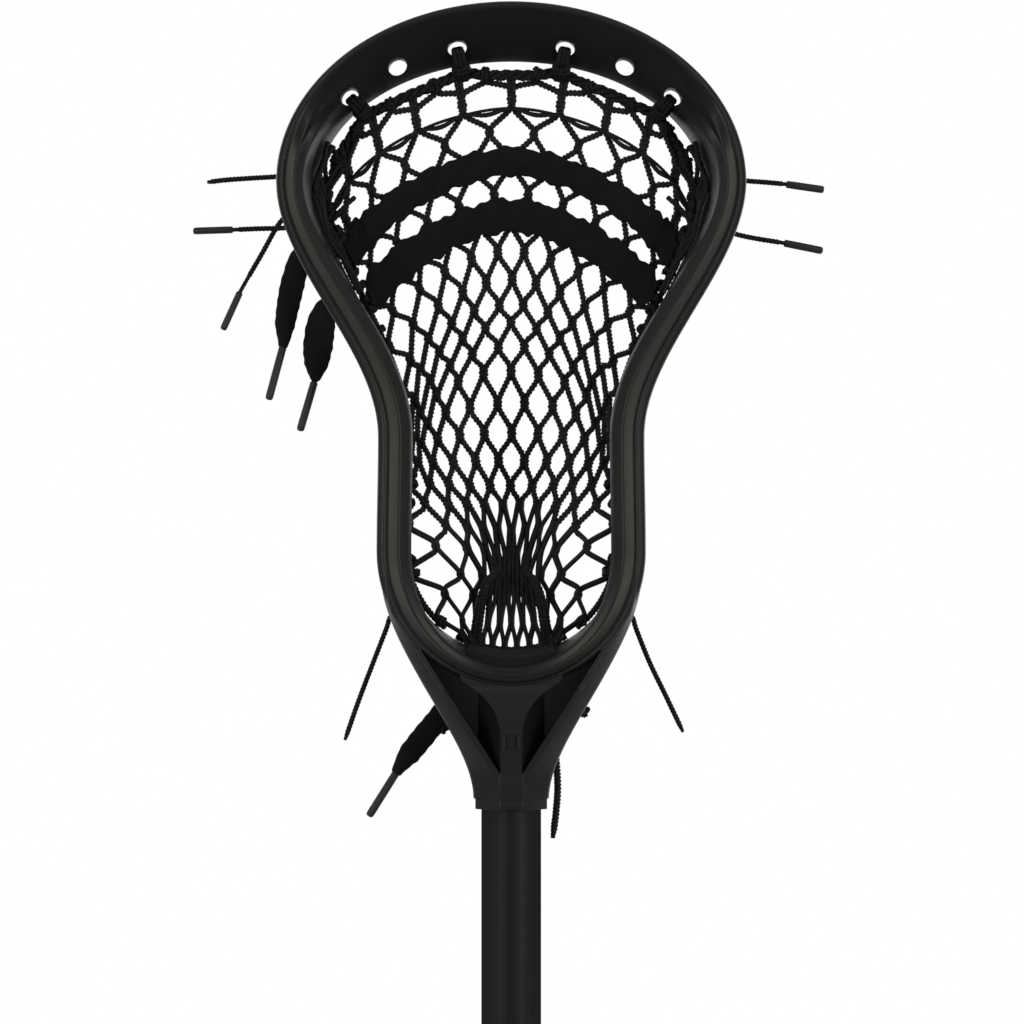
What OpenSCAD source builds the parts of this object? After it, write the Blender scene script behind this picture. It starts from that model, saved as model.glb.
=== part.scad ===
// Lacrosse stick: a strung attack head on an octagonal shaft.
// +Z runs up the shaft to the scoop, and the open face of the head looks along -Y.
// The origin is on the axis of the shaft, halfway along it.

/* [Shaft] */
// Length of the shaft tube
shaft_len = 762; // [500:1:1500]
// Width of the shaft, side to side
shaft_w = 23.2; // [22:0.1:25]
// Depth of the shaft, front to back
shaft_d = 28.6; // [27:0.1:31]
// Width of the narrow front and back faces
shaft_nose = 6.8; // [5:0.1:9]
// Height of the side faces
shaft_side = 12; // [9:0.1:14]
// Hollow in the middle of each face
shaft_flute = 0.5; // [0.2:0.1:0.8]
// Wall of the tube
shaft_wall = 1.5; // [1:0.1:2.2]

/* [End cap] */
// Length of shaft that the cap covers
cap_len = 38; // [20:1:60]
// Wall of the cap
cap_wall = 1.8; // [1.2:0.1:3]
// Thickness of the closed end
cap_end = 4; // [3:0.1:8]
// Gap between cap and shaft
cap_play = 0.15; // [0.1:0.01:0.3]

/* [Head outline] */
// Height of the head, collar to lip
head_len = 314; // [300:1:330]
// Widest part of the face
face_w = 184.6; // [170:0.1:195]
// Height of the scoop above the widest part
scoop_rise = 69.3; // [60:0.1:80]
// Width at the waist
waist_w = 104.6; // [98:0.1:112]
// Height where the waist begins, above the collar
waist_top = 145; // [135:1:155]
// Width across the round base
base_w = 105.6; // [98:0.1:110]
// Height of the centre of the round base
base_h = 100; // [94:1:106]

/* [Head depth] */
// Front of the lip, widest part, waist, foot of the waist and base
front_y = [-6, 3, -1, -3, -18.5];
// Back of the same five places
back_y = [26, 37, 44, 43, 31];

/* [Rails] */
// Band of the scoop, seen from the front
scoop_band = 20.8; // [17:0.1:25]
// Thickness of the scoop
scoop_t = 4.5; // [3.5:0.1:6]
// Front rail at the widest part
rail_side = 11.7; // [10:0.1:14]
// Front rail at the waist
rail_waist = 14; // [12:0.1:16]
// Front rail under the ball stop
rail_base = 7.9; // [7:0.1:10]
// Inward lean of the wall at the widest part
lean_side = 4.4; // [2:0.1:6]
// Inward lean of the wall at the waist; below zero the wall spreads towards the back
lean_waist = -4.4; // [-6:0.1:2]
// Inward lean of the wall at the base
lean_base = 4; // [2:0.1:5]
// Thickness of the side wall
web_t = 3; // [2.4:0.1:4]
// Width of the back rail
back_rail_w = 7; // [6:0.1:8]
// Depth of the back rail
back_rail_d = 7.5; // [6.5:0.1:9]
// Corner radius of the side windows
window_r = 3.5; // [2.5:0.1:4.5]
// Width of the scoop's string holes
scoop_hole_w = 7.8; // [6:0.1:9]
// Height of the scoop's string holes
scoop_hole_h = 5.6; // [4.5:0.1:7]
// Diameter of the side wall's string holes
string_hole_d = 3.6; // [3:0.1:4.2]

/* [Throat] */
// Depth of the socket that holds the shaft
socket_depth = 44; // [36:1:46]
// Gap between shaft and socket
socket_play = 0.15; // [0.1:0.01:0.3]
// Wall of the collar round the shaft
collar_wall = 2.6; // [2.2:0.1:3.2]
// Height of the collar
collar_h = 14; // [12:1:16]
// Height of the rebated lip at the collar's lower edge
lip_h = 4; // [2:0.1:6]
// Wall of the socket inside the recesses
socket_wall = 2; // [1.6:0.1:2.2]
// Width of the spine between the recesses
spine_w = 9.2; // [7:0.1:11]
// Width of the fillet where the spine spreads into the base
fillet_w = 8; // [5:0.5:9]
// Height of that fillet
fillet_h = 12; // [6:0.5:14]
// How far the struts stand forward of the collar
strut_proud = 1.2; // [0:0.1:2]
// Width of the ridge along a strut's inner edge
ridge_w = 2.2; // [1.5:0.1:4]
// Side of the square sink in the spine
sink_w = 5.6; // [4:0.1:6.5]
// Height of the head screw above the collar's lower edge
screw_h = 22; // [18:1:28]
// Diameter of the screw's shank
screw_d = 3.8; // [3:0.1:4.5]
// Diameter of the screw's head
screw_head_d = 8; // [7:0.1:9]
// Height of the screw's head
screw_head_h = 2.2; // [1.6:0.1:3]

/* [Ball stop] */
// Thickness of the pad in the middle
pad_t = 6.2; // [4:0.1:8]
// Share of the round base that the pad spans on each side
pad_span = 0.25; // [0.15:0.01:0.32]

/* [Pocket] */
// How far the pocket bags out behind a straight line from scoop to foot
bag = 31; // [20:1:40]
// Thickness of the mesh
mesh_t = 2.4; // [1.8:0.1:3]
// Width of a mesh strand
strand_w = 2.3; // [1.8:0.1:3.2]
// Diameter of the top string
top_string_d = 4.4; // [3.4:0.1:4.8]
// Diameter of the side wall strings
side_string_d = 2.6; // [2:0.1:3]
// Gap left between a string and what it lies on
string_gap = 0.4; // [0.3:0.05:0.6]
// Thickness of a shooting lace
lace_t = 1.8; // [1.4:0.1:2.4]
// Width of the upper shooting lace
lace_upper_w = 12; // [8:0.1:16]
// Width of the lower shooting lace
lace_lower_w = 14.4; // [8:0.1:17]
// Diameter of the doubled nylon cord
nylon_d = 1.6; // [1.2:0.1:2]

/* [Hidden] */

head_z = shaft_len / 2 - socket_depth;      // lower edge of the collar
face_h = head_len - scoop_rise;             // height of the widest part
plastic = "#1d211e";
cloth = "#141614";

// ---------- small maths ----------
function clamp01(t) = min(1, max(0, t));
function ease(t) = let (u = clamp01(t)) u * u * (3 - 2 * u);
function mix(a, b, t) = a + (b - a) * t;
function unit(v) = v / norm(v);
function quad(a, b, c, d) = [[a, b, c], [a, c, d]];
function flat(list) = [for (part = list) for (item = part) item];

// value at path place q from its values at the five key places
function along(v, q) = let (u = min(4, max(0, q)), i = min(3, floor(u))) mix(v[i], v[i + 1], ease(u - i));
// value at a real index of a list
function at(v, k) = let (u = min(len(v) - 1, max(0, k)), i = min(len(v) - 2, floor(u))) mix(v[i], v[i + 1], u - i);

// ---------- head outline ----------
// Place p on the outline: 0 is the top of the scoop, 1 the widest part, 2 and 3 the ends of
// the waist, 4 the foot of the base. Negative places are on the left.
function half_outline(q) =
    q <= 1 ? [face_w / 2 * sin(90 * q), face_h + scoop_rise * cos(90 * q)]
    : q <= 2 ? [mix(waist_w, face_w, ease(2 - q)) / 2, mix(face_h, waist_top, q - 1)]
    : q <= 3 ? [mix(waist_w, base_w, ease(q - 2)) / 2, mix(waist_top, base_h, q - 2)]
    : [base_w / 2 * cos(90 * (q - 3)), base_h - base_w / 2 * sin(90 * (q - 3))];
function outline(p) = let (o = half_outline(abs(p))) [p < 0 ? -o[0] : o[0], o[1]];
function inward(p) = let (d = outline(p + 0.01) - outline(p - 0.01)) unit([d[1], -d[0]]);
function rail(q) = along([scoop_band, rail_side, rail_waist, rail_waist, rail_base], q);
function lean(q) = along([0, lean_side, lean_waist, lean_waist, lean_base], q);
function wall(q) = rail(q) + lean(q);       // from the outline to the inside of the back rail
function front(q) = along(front_y, q);
function back(q) = along(back_y, q);
// point at path place p, n inward of the outline and at depth y
function place(p, n, y) = let (o = outline(p), d = inward(p)) [o[0] + d[0] * n, y, head_z + o[1] + d[1] * n];

// Side wall section as [n, y]: front rail with two grooved bands, thin wall, back rail.
function rail_section(q) = let (w = rail(q), l = lean(q), t = w + l, f = front(q), b = back(q)) [
    [0, f + 5], [0.05 * w, f + 1.6], [0.22 * w, f], [0.28 * w, f + 0.9], [0.34 * w, f],
    [0.64 * w, f - 0.4], [0.68 * w, f + 0.4], [0.92 * w, f + 1.6], [w, f + 4],
    [w + 0.3 * l, f + 9], [t, b - 2], [t - 1.2, b], [t - back_rail_w + 1, b],
    [t - back_rail_w, b - 2], [t - back_rail_w, b - back_rail_d],
    [t - 0.2 * l - web_t, b - back_rail_d - 3], [w + 0.3 * l - web_t, f + 11], [2.5, f + 8.5]];
// Scoop section: a plate that leans back from a rounded lip.
function scoop_run(q) = [wall(q) - 3.4, back(q) - front(q) - 1.8];
function scoop_point(q, t) = [3.1, front(q) + 0.6] + t * scoop_run(q);
function scoop_normal(q) = let (v = unit(scoop_run(q))) [-v[1], v[0]];
function scoop_section(q) = let (f = front(q), b = back(q), w = wall(q), off = scoop_t * scoop_normal(q)) [
    [0, f + 4], [0.2, f + 1.4], [1.3, f], [2.2, f - 0.1], scoop_point(q, 0),
    scoop_point(q, 0.2), scoop_point(q, 0.4), scoop_point(q, 0.6), scoop_point(q, 0.8),
    scoop_point(q, 0.94), [w, b - 0.4], [w - 0.6, b + 0.8], scoop_point(q, 1) + off,
    scoop_point(q, 0.94) + off, scoop_point(q, 0.78) + off, scoop_point(q, 0.55) + off,
    scoop_point(q, 0.3) + off, scoop_point(q, 0.1) + off + [0.1, 0]];
function scoop_share(q) = 1 - ease((q - 0.44) / 0.5);
function section(q) = let (a = rail_section(q), b = scoop_section(q), m = scoop_share(q)) [
    for (i = [0:len(a) - 1]) mix(a[i], b[i], m)];

// stations down one side, spaced by what the curve needs
side_stations = [for (i = [0:12]) i / 13, for (i = [0:7]) 1 + i / 8, for (i = [0:1]) 2 + i / 2, for (i = [0:7]) 3 + i / 8];
loop_stations = concat(side_stations, [4], [for (i = [len(side_stations) - 1:-1:1]) -side_stations[i]]);

// closed loft through rings of points
function loop_faces(rings, sides) = flat([for (i = [0:rings - 1], j = [0:sides - 1])
    let (a = i * sides + j, b = i * sides + (j + 1) % sides, step = (i + 1) % rings)
    quad(a, step * sides + j, step * sides + (j + 1) % sides, b)]);
// open loft with flat ends
function open_faces(rings, sides) = concat(
    flat([for (i = [0:rings - 2], j = [0:sides - 1])
        let (a = i * sides + j, b = i * sides + (j + 1) % sides)
        quad(a, a + sides, b + sides, b)]),
    [for (j = [1:sides - 2]) [0, j, j + 1]],
    [for (j = [1:sides - 2]) let (k = (rings - 1) * sides) [k, k + j + 1, k + j]]);
module loft(rings) {
    polyhedron(points = flat(rings), faces = open_faces(len(rings), len(rings[0])), convexity = 8);
}

// ---------- octagon of the shaft ----------
// Corners of the octagon, grown by g all round.
function octagon(g) = let (
    nose = shaft_nose / 2, d = shaft_d / 2, w = shaft_w / 2, side = shaft_side / 2,
    v = unit([d - side, w - nose]), reach = v * [nose, d] + g,
    x = (reach - v[1] * (d + g)) / v[0], y = (reach - v[0] * (w + g)) / v[1])
    [[x, -d - g], [w + g, -y], [w + g, y], [x, d + g], [-x, d + g], [-w - g, y], [-w - g, -y], [-x, -d - g]];
// The same with each face hollowed.
function fluted(g, depth) = let (o = octagon(g)) flat([for (i = [0:7]) let (
    a = o[i], b = o[(i + 1) % 8], out = unit([b[1] - a[1], a[0] - b[0]]))
    [a, mix(a, b, 0.25) - out * depth * 0.75, mix(a, b, 0.5) - out * depth, mix(a, b, 0.75) - out * depth * 0.75]]);

// ---------- strings ----------
// Ring of points round a path point: half-widths ra across and rb along the reference direction.
function ring(path, i, ra, rb, ref, sides) = let (
    n = len(path) - 1,
    t = unit(path[min(n, i + 1)] - path[max(0, i - 1)]),
    up = unit(ref - t * (ref * t)), across = cross(up, t))
    [for (j = [0:sides - 1]) path[i] + across * ra * cos(360 * j / sides) + up * rb * sin(360 * j / sides)];
function size_at(r, i) = is_list(r) ? r[i] : r;
module tube(path, ra, rb, ref = [0, 1, 0], sides = 8)
    loft([for (i = [0:len(path) - 1]) ring(path, i, size_at(ra, i), size_at(rb, i), ref, sides)]);
// Point that a string keeps when it follows the wall n inward at depth y behind the back rail's face
function wall_run(p, out, y) = place(p, wall(abs(p)) + out, back(abs(p)) + y);

// ---------- pocket surface ----------
rows = 22;
// Height of each row of knots as a share of the way from foot to crown
row_share = [1, 0.966, 0.907, 0.853, 0.801, 0.75, 0.7, 0.651, 0.607, 0.572, 0.534, 0.488,
    0.431, 0.378, 0.328, 0.283, 0.248, 0.203, 0.162, 0.123, 0.085, 0.045, 0];
// Where each row meets the wall, as a path place
row_edge = [0.98, 1.13, 1.27, 1.37, 1.46, 1.54, 1.62, 1.7, 1.79, 1.85, 1.91, 1.99,
    2.06, 2.14, 2.24, 2.4, 2.58, 2.76, 2.95, 3.12, 3.28, 3.45, 3.64];
// Above 1 the knots spread from the centre, below 1 they gather there
row_spread = [1.45, 1.38, 1.32, 1.24, 1.16, 1.1, 1.03, 1.03, 1.13, 1.22, 1.31, 1.42,
    1.45, 1.4, 1.26, 1.08, 0.89, 0.69, 0.52, 0.42, 0.44, 0.46, 0.48];
// How late the row bends up or down to the wall
row_bend = [1.8, 1.72, 1.6, 1.6, 1.6, 1.7, 1.8, 1.78, 1.8, 1.65, 1.6, 1.8,
    1.95, 2.2, 1.8, 1.4, 1.5, 1.4, 1.6, 1.7, 2, 1.8, 1.8];
mesh_gap = side_string_d + 2 * string_gap;   // from the back rail to the edge of the mesh
crown_h = head_len - wall(0) - top_string_d - 2 * string_gap + 0.3;
foot_h = base_h - base_w / 2 + wall(4) + lace_t + 2 * string_gap;
crown_y = back_y[0] + 1;
foot_y = back_y[4] + 1;
function row_h(k) = mix(foot_h, crown_h, at(row_share, k));
function row_y(k) = let (v = at(row_share, k)) mix(foot_y, crown_y, v) + bag * sin(180 * v);
function edge_point(k) = let (q = at(row_edge, k)) place(q, wall(q) + mesh_gap + 2.4 * ease(1 - k), back(q) - 4);
function spread(t, a) = a * t + (1 - a) * pow(t, a > 1 ? 3 : 5);
// Point of the pocket at row k and at share t of the half width, lifted forward by up
function pocket(k, t, up = 0) = let (e = edge_point(k), s = abs(t)) [
    sign(t) * e[0] * spread(s, at(row_spread, k)),
    mix(row_y(k), e[1], pow(s, 2.2)) - up,
    mix(head_z + row_h(k), e[2], pow(s, at(row_bend, k)))];

// ---------- pieces ----------
module ring_loft() {
    rings = [for (p = loop_stations) [for (s = section(abs(p))) place(p, s[0], s[1])]];
    polyhedron(points = flat(rings), faces = loop_faces(len(rings), len(rings[0])), convexity = 10);
}
// cylinder at a point, along a direction
module bore(at, dir, d, h, fn = 16)
    translate(at) rotate([0, acos(dir[2]), atan2(dir[1], dir[0])]) cylinder(d = d, h = h, center = true, $fn = fn);
// pushes a front-view outline through from y1 to y2
module through(y1, y2) translate([0, y2, head_z]) rotate([90, 0, 0]) linear_extrude(y2 - y1) children();

module side_window(side, q1, q2) {
    hull() for (q = [q1, q2], y = [front(q) + 12 + window_r, back(q) - back_rail_d - 4 - window_r]) {
        d = inward(side * q);
        bore(place(side * q, rail(q) - 1, y), [d[0], 0, d[1]], 2 * window_r, 16, 8);
    }
}
module scoop_holes() {
    for (side = [-1, 1], q = [0.168, 0.37, 0.572]) {
        s = scoop_point(q, 0.76);
        d = inward(side * q);
        translate(place(side * q, s[0], s[1])) rotate([0, atan2(d[0], d[1]), 0]) rotate([90, 0, 0])
            linear_extrude(24, center = true) scale([scoop_hole_w, scoop_hole_h]) circle(d = 1, $fn = 12);
    }
}
module string_holes() {
    for (side = [-1, 1], q = [1.02, 1.18, 1.34, 1.5, 1.66, 1.88, 2.2, 2.6, 3, 3.3]) {
        d = inward(side * q);
        bore(place(side * q, wall(q) - back_rail_w / 2, back(q) - 4), [d[0], 0, d[1]], string_hole_d, back_rail_w + 6, 6);
    }
}

// front and back of the throat at height h
collar_r = shaft_d / 2 + socket_play + collar_wall;
function rim_front(h) = front(3 + asin(clamp01((base_h - h) / (base_w / 2))) / 90);
function throat_front(h) = mix(0.25 - collar_r, rim_front(h) + 1.3, ease((h - collar_h) / 33)) - strut_proud * sin(180 * clamp01((h - collar_h) / 33));
function throat_back(h) = mix(collar_r - 0.25, back_y[4] - 1, ease((h - collar_h) / 45));
recess_x = base_w / 2 - 17.9;
recess_h = base_h - 38.3;
// half width of the throat: one curve from the collar to the side of the base
throat_x = shaft_w / 2 + socket_play + collar_wall;
function throat_side(t) = let (u = 1 - t, a = [throat_x - 0.2, 6], b = [base_w / 2 - 1.8, base_h - 9])
    u * u * u * a + 3 * u * u * t * (a + [0, 24]) + 3 * u * t * t * (b - [0, 28]) + t * t * t * b;
// outer edge of a recess at height h
function recess_edge(h) = mix(spine_w / 2, recess_x, (h - collar_h) / (recess_h - collar_h));
module throat_loft() {
    loft([for (i = [1:15]) let (
        s = i < 15 ? throat_side(i / 14) : [base_w / 2 - 12, base_h], x = s[0], h = s[1], open = ease((h - collar_h) / 24),
        f = throat_front(h), b = throat_back(h), c = mix(shaft_d / 2 - shaft_side / 2 + 1, 7, open),
        ridge = min(x - 1.6, max(shaft_nose / 2 + 1, recess_edge(h) + ridge_w)), back_c = mix(c, 1.6, open))
        [for (v = [[ridge, f], [x, f + c], [x, b - back_c], [mix(ridge, x - 1.6, open), b], [-mix(ridge, x - 1.6, open), b], [-x, b - back_c], [-x, f + c], [-ridge, f]])
            [v[0], v[1], head_z + h]]]);
}
// inside of the round base, so the throat stays out of the mouth; it follows the middle of the wall
module mouth() {
    loft([for (v = [[60, 1], [back_y[4], 1], [front_y[4], 0], [-60, 0]])
        concat([[base_w / 2, v[0], head_z + base_h + 40], [-base_w / 2, v[0], head_z + base_h + 40]],
            [for (i = [-9:9]) let (q = 4 - abs(i) / 9) place(i < 0 ? -q : q, mix(rail_base - 1.3, wall(q) - 1.7, v[1]), v[0])])]);
}
// one of the two triangular recesses between spine, strut and base
module recess_outline(keep) {
    low = collar_h;
    top = base_h - base_w / 2 + 1.2;
    offset(r = 0.6, $fn = 12) offset(delta = -0.6) difference() {
        polygon([[keep, low], [keep, recess_h], [recess_x, recess_h + 2], [recess_x, recess_h]]);
        translate([0, base_h]) circle(base_w / 2 - 2, $fn = 60);
        difference() {
            translate([keep - 1, top - fillet_h]) square([fillet_w + 1, fillet_h + 3]);
            translate([keep + fillet_w, top - fillet_h]) scale([fillet_w, fillet_h]) circle(1, $fn = 32);
        }
    }
}
module head_frame() {
    color(plastic) difference() {
        union() {
            ring_loft();
            difference() {
                throat_loft();
                mouth();
                for (side = [0, 1]) mirror([side, 0, 0]) {
                    through(-60, -5) recess_outline(spine_w / 2);
                    through(9, 60) recess_outline(spine_w);
                }
            }
            // collar with its rebated lip
            translate([0, 0, head_z]) linear_extrude(lip_h) polygon(octagon(socket_play + collar_wall - 0.4));
            translate([0, 0, head_z + lip_h]) linear_extrude(collar_h - lip_h + 2) polygon(octagon(socket_play + collar_wall));
            // socket, standing inside the recesses
            translate([0, 0, head_z]) linear_extrude(socket_depth + socket_wall) polygon(octagon(socket_play + socket_wall));
        }
        translate([0, 0, head_z - 1]) linear_extrude(socket_depth + 1 + socket_play) polygon(octagon(socket_play));
        // sink in the spine
        translate([-sink_w / 2, throat_front(26.5) - 5, head_z + 24]) cube([sink_w, 5.9, sink_w - 0.2]);
        // seat and hole of the head screw
        bore([0, shaft_d / 2 + collar_wall + 6.1, head_z + screw_h], [0, 1, 0], screw_head_d + 0.6, 12, 24);
        bore([0, shaft_d / 2, head_z + screw_h], [0, 1, 0], screw_d + 0.4, 12, 16);
        for (side = [-1, 1]) {
            side_window(side, 1.1, 1.3);
            side_window(side, 1.42, 1.64);
            side_window(side, 1.78, 2.2);
            side_window(side, 2.45, 2.9);
        }
        scoop_holes();
        string_holes();
    }
}

module ball_stop() {
    color(cloth) loft([for (i = [-8:8]) let (
        s = i / 8, p = i < 0 ? -4 + pad_span * -s : 4 - pad_span * s, q = abs(p),
        t = 0.8 + (pad_t - 0.8) * (1 - s * s), w = rail(q) + 0.5, l = lean(q), f = front(q), b = back(q))
        [for (v = [[w, f + 5], [w + 0.3 * l, f + 9.2], [w + l, b - 3], [w + l + t * 0.8, b - 4], [w + 0.3 * l + t, f + 11], [w + t, f + 7]])
            place(p, v[0], v[1])]]);
}

module shaft() {
    color(plastic) difference() {
        translate([0, 0, -shaft_len / 2]) linear_extrude(shaft_len) difference() {
            polygon(fluted(0, shaft_flute));
            polygon(octagon(-shaft_wall - shaft_flute));
        }
        bore([0, shaft_d / 2, head_z + screw_h], [0, 1, 0], screw_d + 0.4, 8, 12);
    }
}

module end_cap() {
    g = cap_play + cap_wall;
    low = -shaft_len / 2 - cap_end;
    color("#1a1a1a") difference() {
        union() {
            translate([0, 0, low + 1.2]) linear_extrude(cap_end + cap_len - 1.2) polygon(octagon(g));
            hull() {
                translate([0, 0, low]) linear_extrude(0.2) polygon(octagon(g - 1));
                translate([0, 0, low + 1.1]) linear_extrude(0.2) polygon(octagon(g));
            }
        }
        translate([0, 0, -shaft_len / 2]) linear_extrude(cap_len + 1) polygon(octagon(cap_play));
        // grip rings round the skirt
        for (i = [1:3]) translate([0, 0, -shaft_len / 2 + i * cap_len / 4]) linear_extrude(1.4) difference() {
            polygon(octagon(g + 1));
            polygon(octagon(g - 0.5));
        }
    }
}

module head_screw() {
    seat = shaft_d / 2 + collar_wall + 0.15;
    color("silver") {
        bore([0, seat + screw_head_h / 2, head_z + screw_h], [0, 1, 0], screw_head_d, screw_head_h, 12);
        bore([0, seat - 3, head_z + screw_h], [0, 1, 0], screw_d, 6.02, 12);
    }
}

// Mesh as one sheet of diamond cells. Knots sit on half columns in even rows and on whole
// columns in odd ones; c counts half columns.
function knot(k, c) = k % 2 == 0 ? k / 2 * 21 + (c + 9) / 2 : (k - 1) / 2 * 21 + 10 + (c + 10) / 2;
function is_cell(k, c) = k > 0 && k < rows && abs(c) <= (k % 2 == 1 ? 9 : 8);
module mesh_pocket() {
    knots = [for (k = [0:rows], c = [k % 2 == 0 ? -9 : -10:2:10]) pocket(k, c / 10)];
    cells = [for (k = [1:rows - 1], c = [k % 2 == 1 ? -9 : -8:2:9]) [k, c]];
    count = len(knots);
    half = [0, mesh_t / 2, 0];
    // top, right, bottom and left knot of a cell
    function corners(cell) = [knot(cell[0] - 1, cell[1]), knot(cell[0], cell[1] + 1), knot(cell[0] + 1, cell[1]), knot(cell[0], cell[1] - 1)];
    function hole(cell) = let (
        c = corners(cell), p = [for (i = c) knots[i]], mid = (p[0] + p[1] + p[2] + p[3]) / 4,
        a = norm(p[1] - p[3]) / 2, b = norm(p[0] - p[2]) / 2,
        keep = max(0.2, 1 - strand_w / 2 * norm([a, b]) / (a * b))) [for (v = p) mix(mid, v, keep)];
    holes = flat([for (cell = cells) hole(cell)]);
    total = count + len(holes);
    points = concat([for (p = knots) p - half], [for (p = holes) p - half], [for (p = knots) p + half], [for (p = holes) p + half]);
    beside = [[-1, 1], [1, 1], [1, -1], [-1, -1]];
    faces = flat([for (n = [0:len(cells) - 1], i = [0:3]) let (
        c = corners(cells[n]), j = (i + 1) % 4, a = c[i], b = c[j], d = count + 4 * n + i, e = count + 4 * n + j,
        open = !is_cell(cells[n][0] + beside[i][0], cells[n][1] + beside[i][1]))
        concat(quad(a, b, e, d), quad(a + total, d + total, e + total, b + total),
            quad(d, e, e + total, d + total), open ? quad(b, a, a + total, b + total) : [])]);
    color(cloth) polyhedron(points = points, faces = faces, convexity = 20);
}

module top_string() {
    color(cloth) tube([for (i = [-12:12]) wall_run(i / 12 * 0.9, top_string_d / 2 + string_gap, -1 - 2.5 * ease(abs(i) / 8 - 0.5))],
        top_string_d / 2, top_string_d / 2);
}
// loops that tie the top string down through the scoop's holes
module top_string_loops() {
    color(cloth) for (side = [-1, 1], q = [0.168, 0.572]) {
        s = scoop_point(q, 0.76);
        v = scoop_normal(q);
        d = inward(side * q);
        up = [d[0] * -v[0], -v[1], d[1] * -v[0]];
        p = place(side * q, s[0], s[1]);
        run = unit(wall_run(side * q, 0, 0) - p);
        lift = 2.2 + 4 * (1 - scoop_share(q));
        tube([p + [0, 1.6, 0], p + up * 0.7 + run * 0.2, p + up * lift + run * 2.2, p + up * lift + run * 6.4], 2.2, 1.2, up);
    }
}
module side_string(side)
    color(cloth) tube([for (i = [0:20]) wall_run(side * (0.95 + 2.6 * i / 20), side_string_d / 2 + string_gap, -4)],
        side_string_d / 2, side_string_d / 2, sides = 6);
module side_string_left() side_string(-1);
module side_string_right() side_string(1);

// flat lace of width w lying on the front of the mesh along row k
module shooting_lace(k, w) {
    half = w / 2 / (row_h(k - 0.5) - row_h(k + 0.5));
    lift = mesh_t / 2 + string_gap + 0.2;
    color(cloth) loft([for (i = [-9:9]) let (t = i / 9 * 0.97) [
        pocket(k - half, t, lift), pocket(k - half * 0.9, t, lift + lace_t), pocket(k, t, lift + lace_t + 0.3),
        pocket(k + half * 0.9, t, lift + lace_t), pocket(k + half, t, lift), pocket(k, t, lift)]]);
}
module shooting_lace_upper() shooting_lace(3, lace_upper_w);
module shooting_lace_lower() shooting_lace(4.8, lace_lower_w);
module shooting_cord() {
    for (k = [1.28, 1.6]) color(cloth) tube([for (i = [-9:9]) pocket(k, i / 9 * 0.96, mesh_t / 2 + nylon_d / 2 + string_gap)],
        nylon_d / 2, nylon_d / 2, sides = 6);
}
module bottom_lace() {
    color(cloth) tube([for (i = [-8:8]) let (q = 4 - abs(i) / 8 * 0.36) wall_run(i < 0 ? -q : q, lace_t / 2 + string_gap, 1.2)],
        3, lace_t / 2, unit([0, 0, 1]));
}

// Loose ends. Their points are the run of each one from the hole it leaves, heights above the collar.
function lifted(path) = [for (p = path) [p[0], p[1], p[2] + head_z]];
left_upper = [[-84, 33, 249.5], [-88, 35, 249], [-93.5, 35, 248.6], [-103.8, 35, 248], [-113.8, 35, 247.3], [-120.9, 35, 246.4]];
left_middle = [[-81.7, 34, 229], [-87, 36, 228.6], [-92, 36, 228.2], [-101, 36, 228], [-110.7, 36, 227.6]];
left_slant = [[-83.5, 35, 236], [-88.5, 38.8, 234], [-93, 39.6, 229.6], [-99.2, 39, 218.5], [-108, 37, 202.8]];
right_upper = [[84.2, 33, 248.5], [88, 35, 247.8], [94.2, 35, 246.9], [101, 35, 246.4], [109.3, 35, 245.6]];
right_middle = [[81.3, 34, 228.6], [86, 36, 227], [91.4, 36, 225.3], [99, 36, 223.8], [108.5, 36, 222.3]];
throat_left = [[-45.8, 36.4, 76.8], [-48.4, 37, 73], [-49.8, 36.6, 68.6], [-55, 33, 55], [-60.5, 31, 40.5], [-65.9, 29, 24.9]];
throat_right = [[45.8, 36.4, 76.8], [48.4, 37, 73], [49.8, 36.6, 68.6], [55, 33, 55.5], [61.5, 31, 42], [68.1, 29, 28.1]];
shaft_end = [[14, 34.9, 56], [15.2, 33.6, 47], [16.4, 28.5, 35], [17.4, 24, 22], [18.3, 19, 8], [17.6, 16.5, -3], [16.3, 15, -12.9]];
upper_end = [[-79.4, 36, 221.2], [-84, 40, 217], [-86.5, 40, 209], [-88.2, 38, 201], [-89.8, 35, 191], [-90.6, 32, 181]];
lower_end = [[-70.5, 40, 201.8], [-72, 42, 198.8], [-75.5, 42, 192], [-77, 40, 182], [-77.6, 36, 173], [-78.2, 33, 167]];
bottom_end = [[-16, 34.5, 57], [-19.6, 33.9, 48], [-24, 31, 40.6], [-29, 28.4, 33.6], [-36, 26, 25], [-42, 24, 17.5], [-45.5, 23, 12.3]];
// ends of the aglets on those that have one
left_middle_tip = [-126.6, 36, 227.1];
left_slant_tip = [-114.7, 35, 187.7];
right_upper_tip = [124.4, 35, 243.4];
right_middle_tip = [124, 36, 219.2];
upper_tip = [-96.1, 28, 159.7];
lower_tip = [-83.8, 30, 147.4];
bottom_tip = [-56.2, 20, -4.7];

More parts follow.
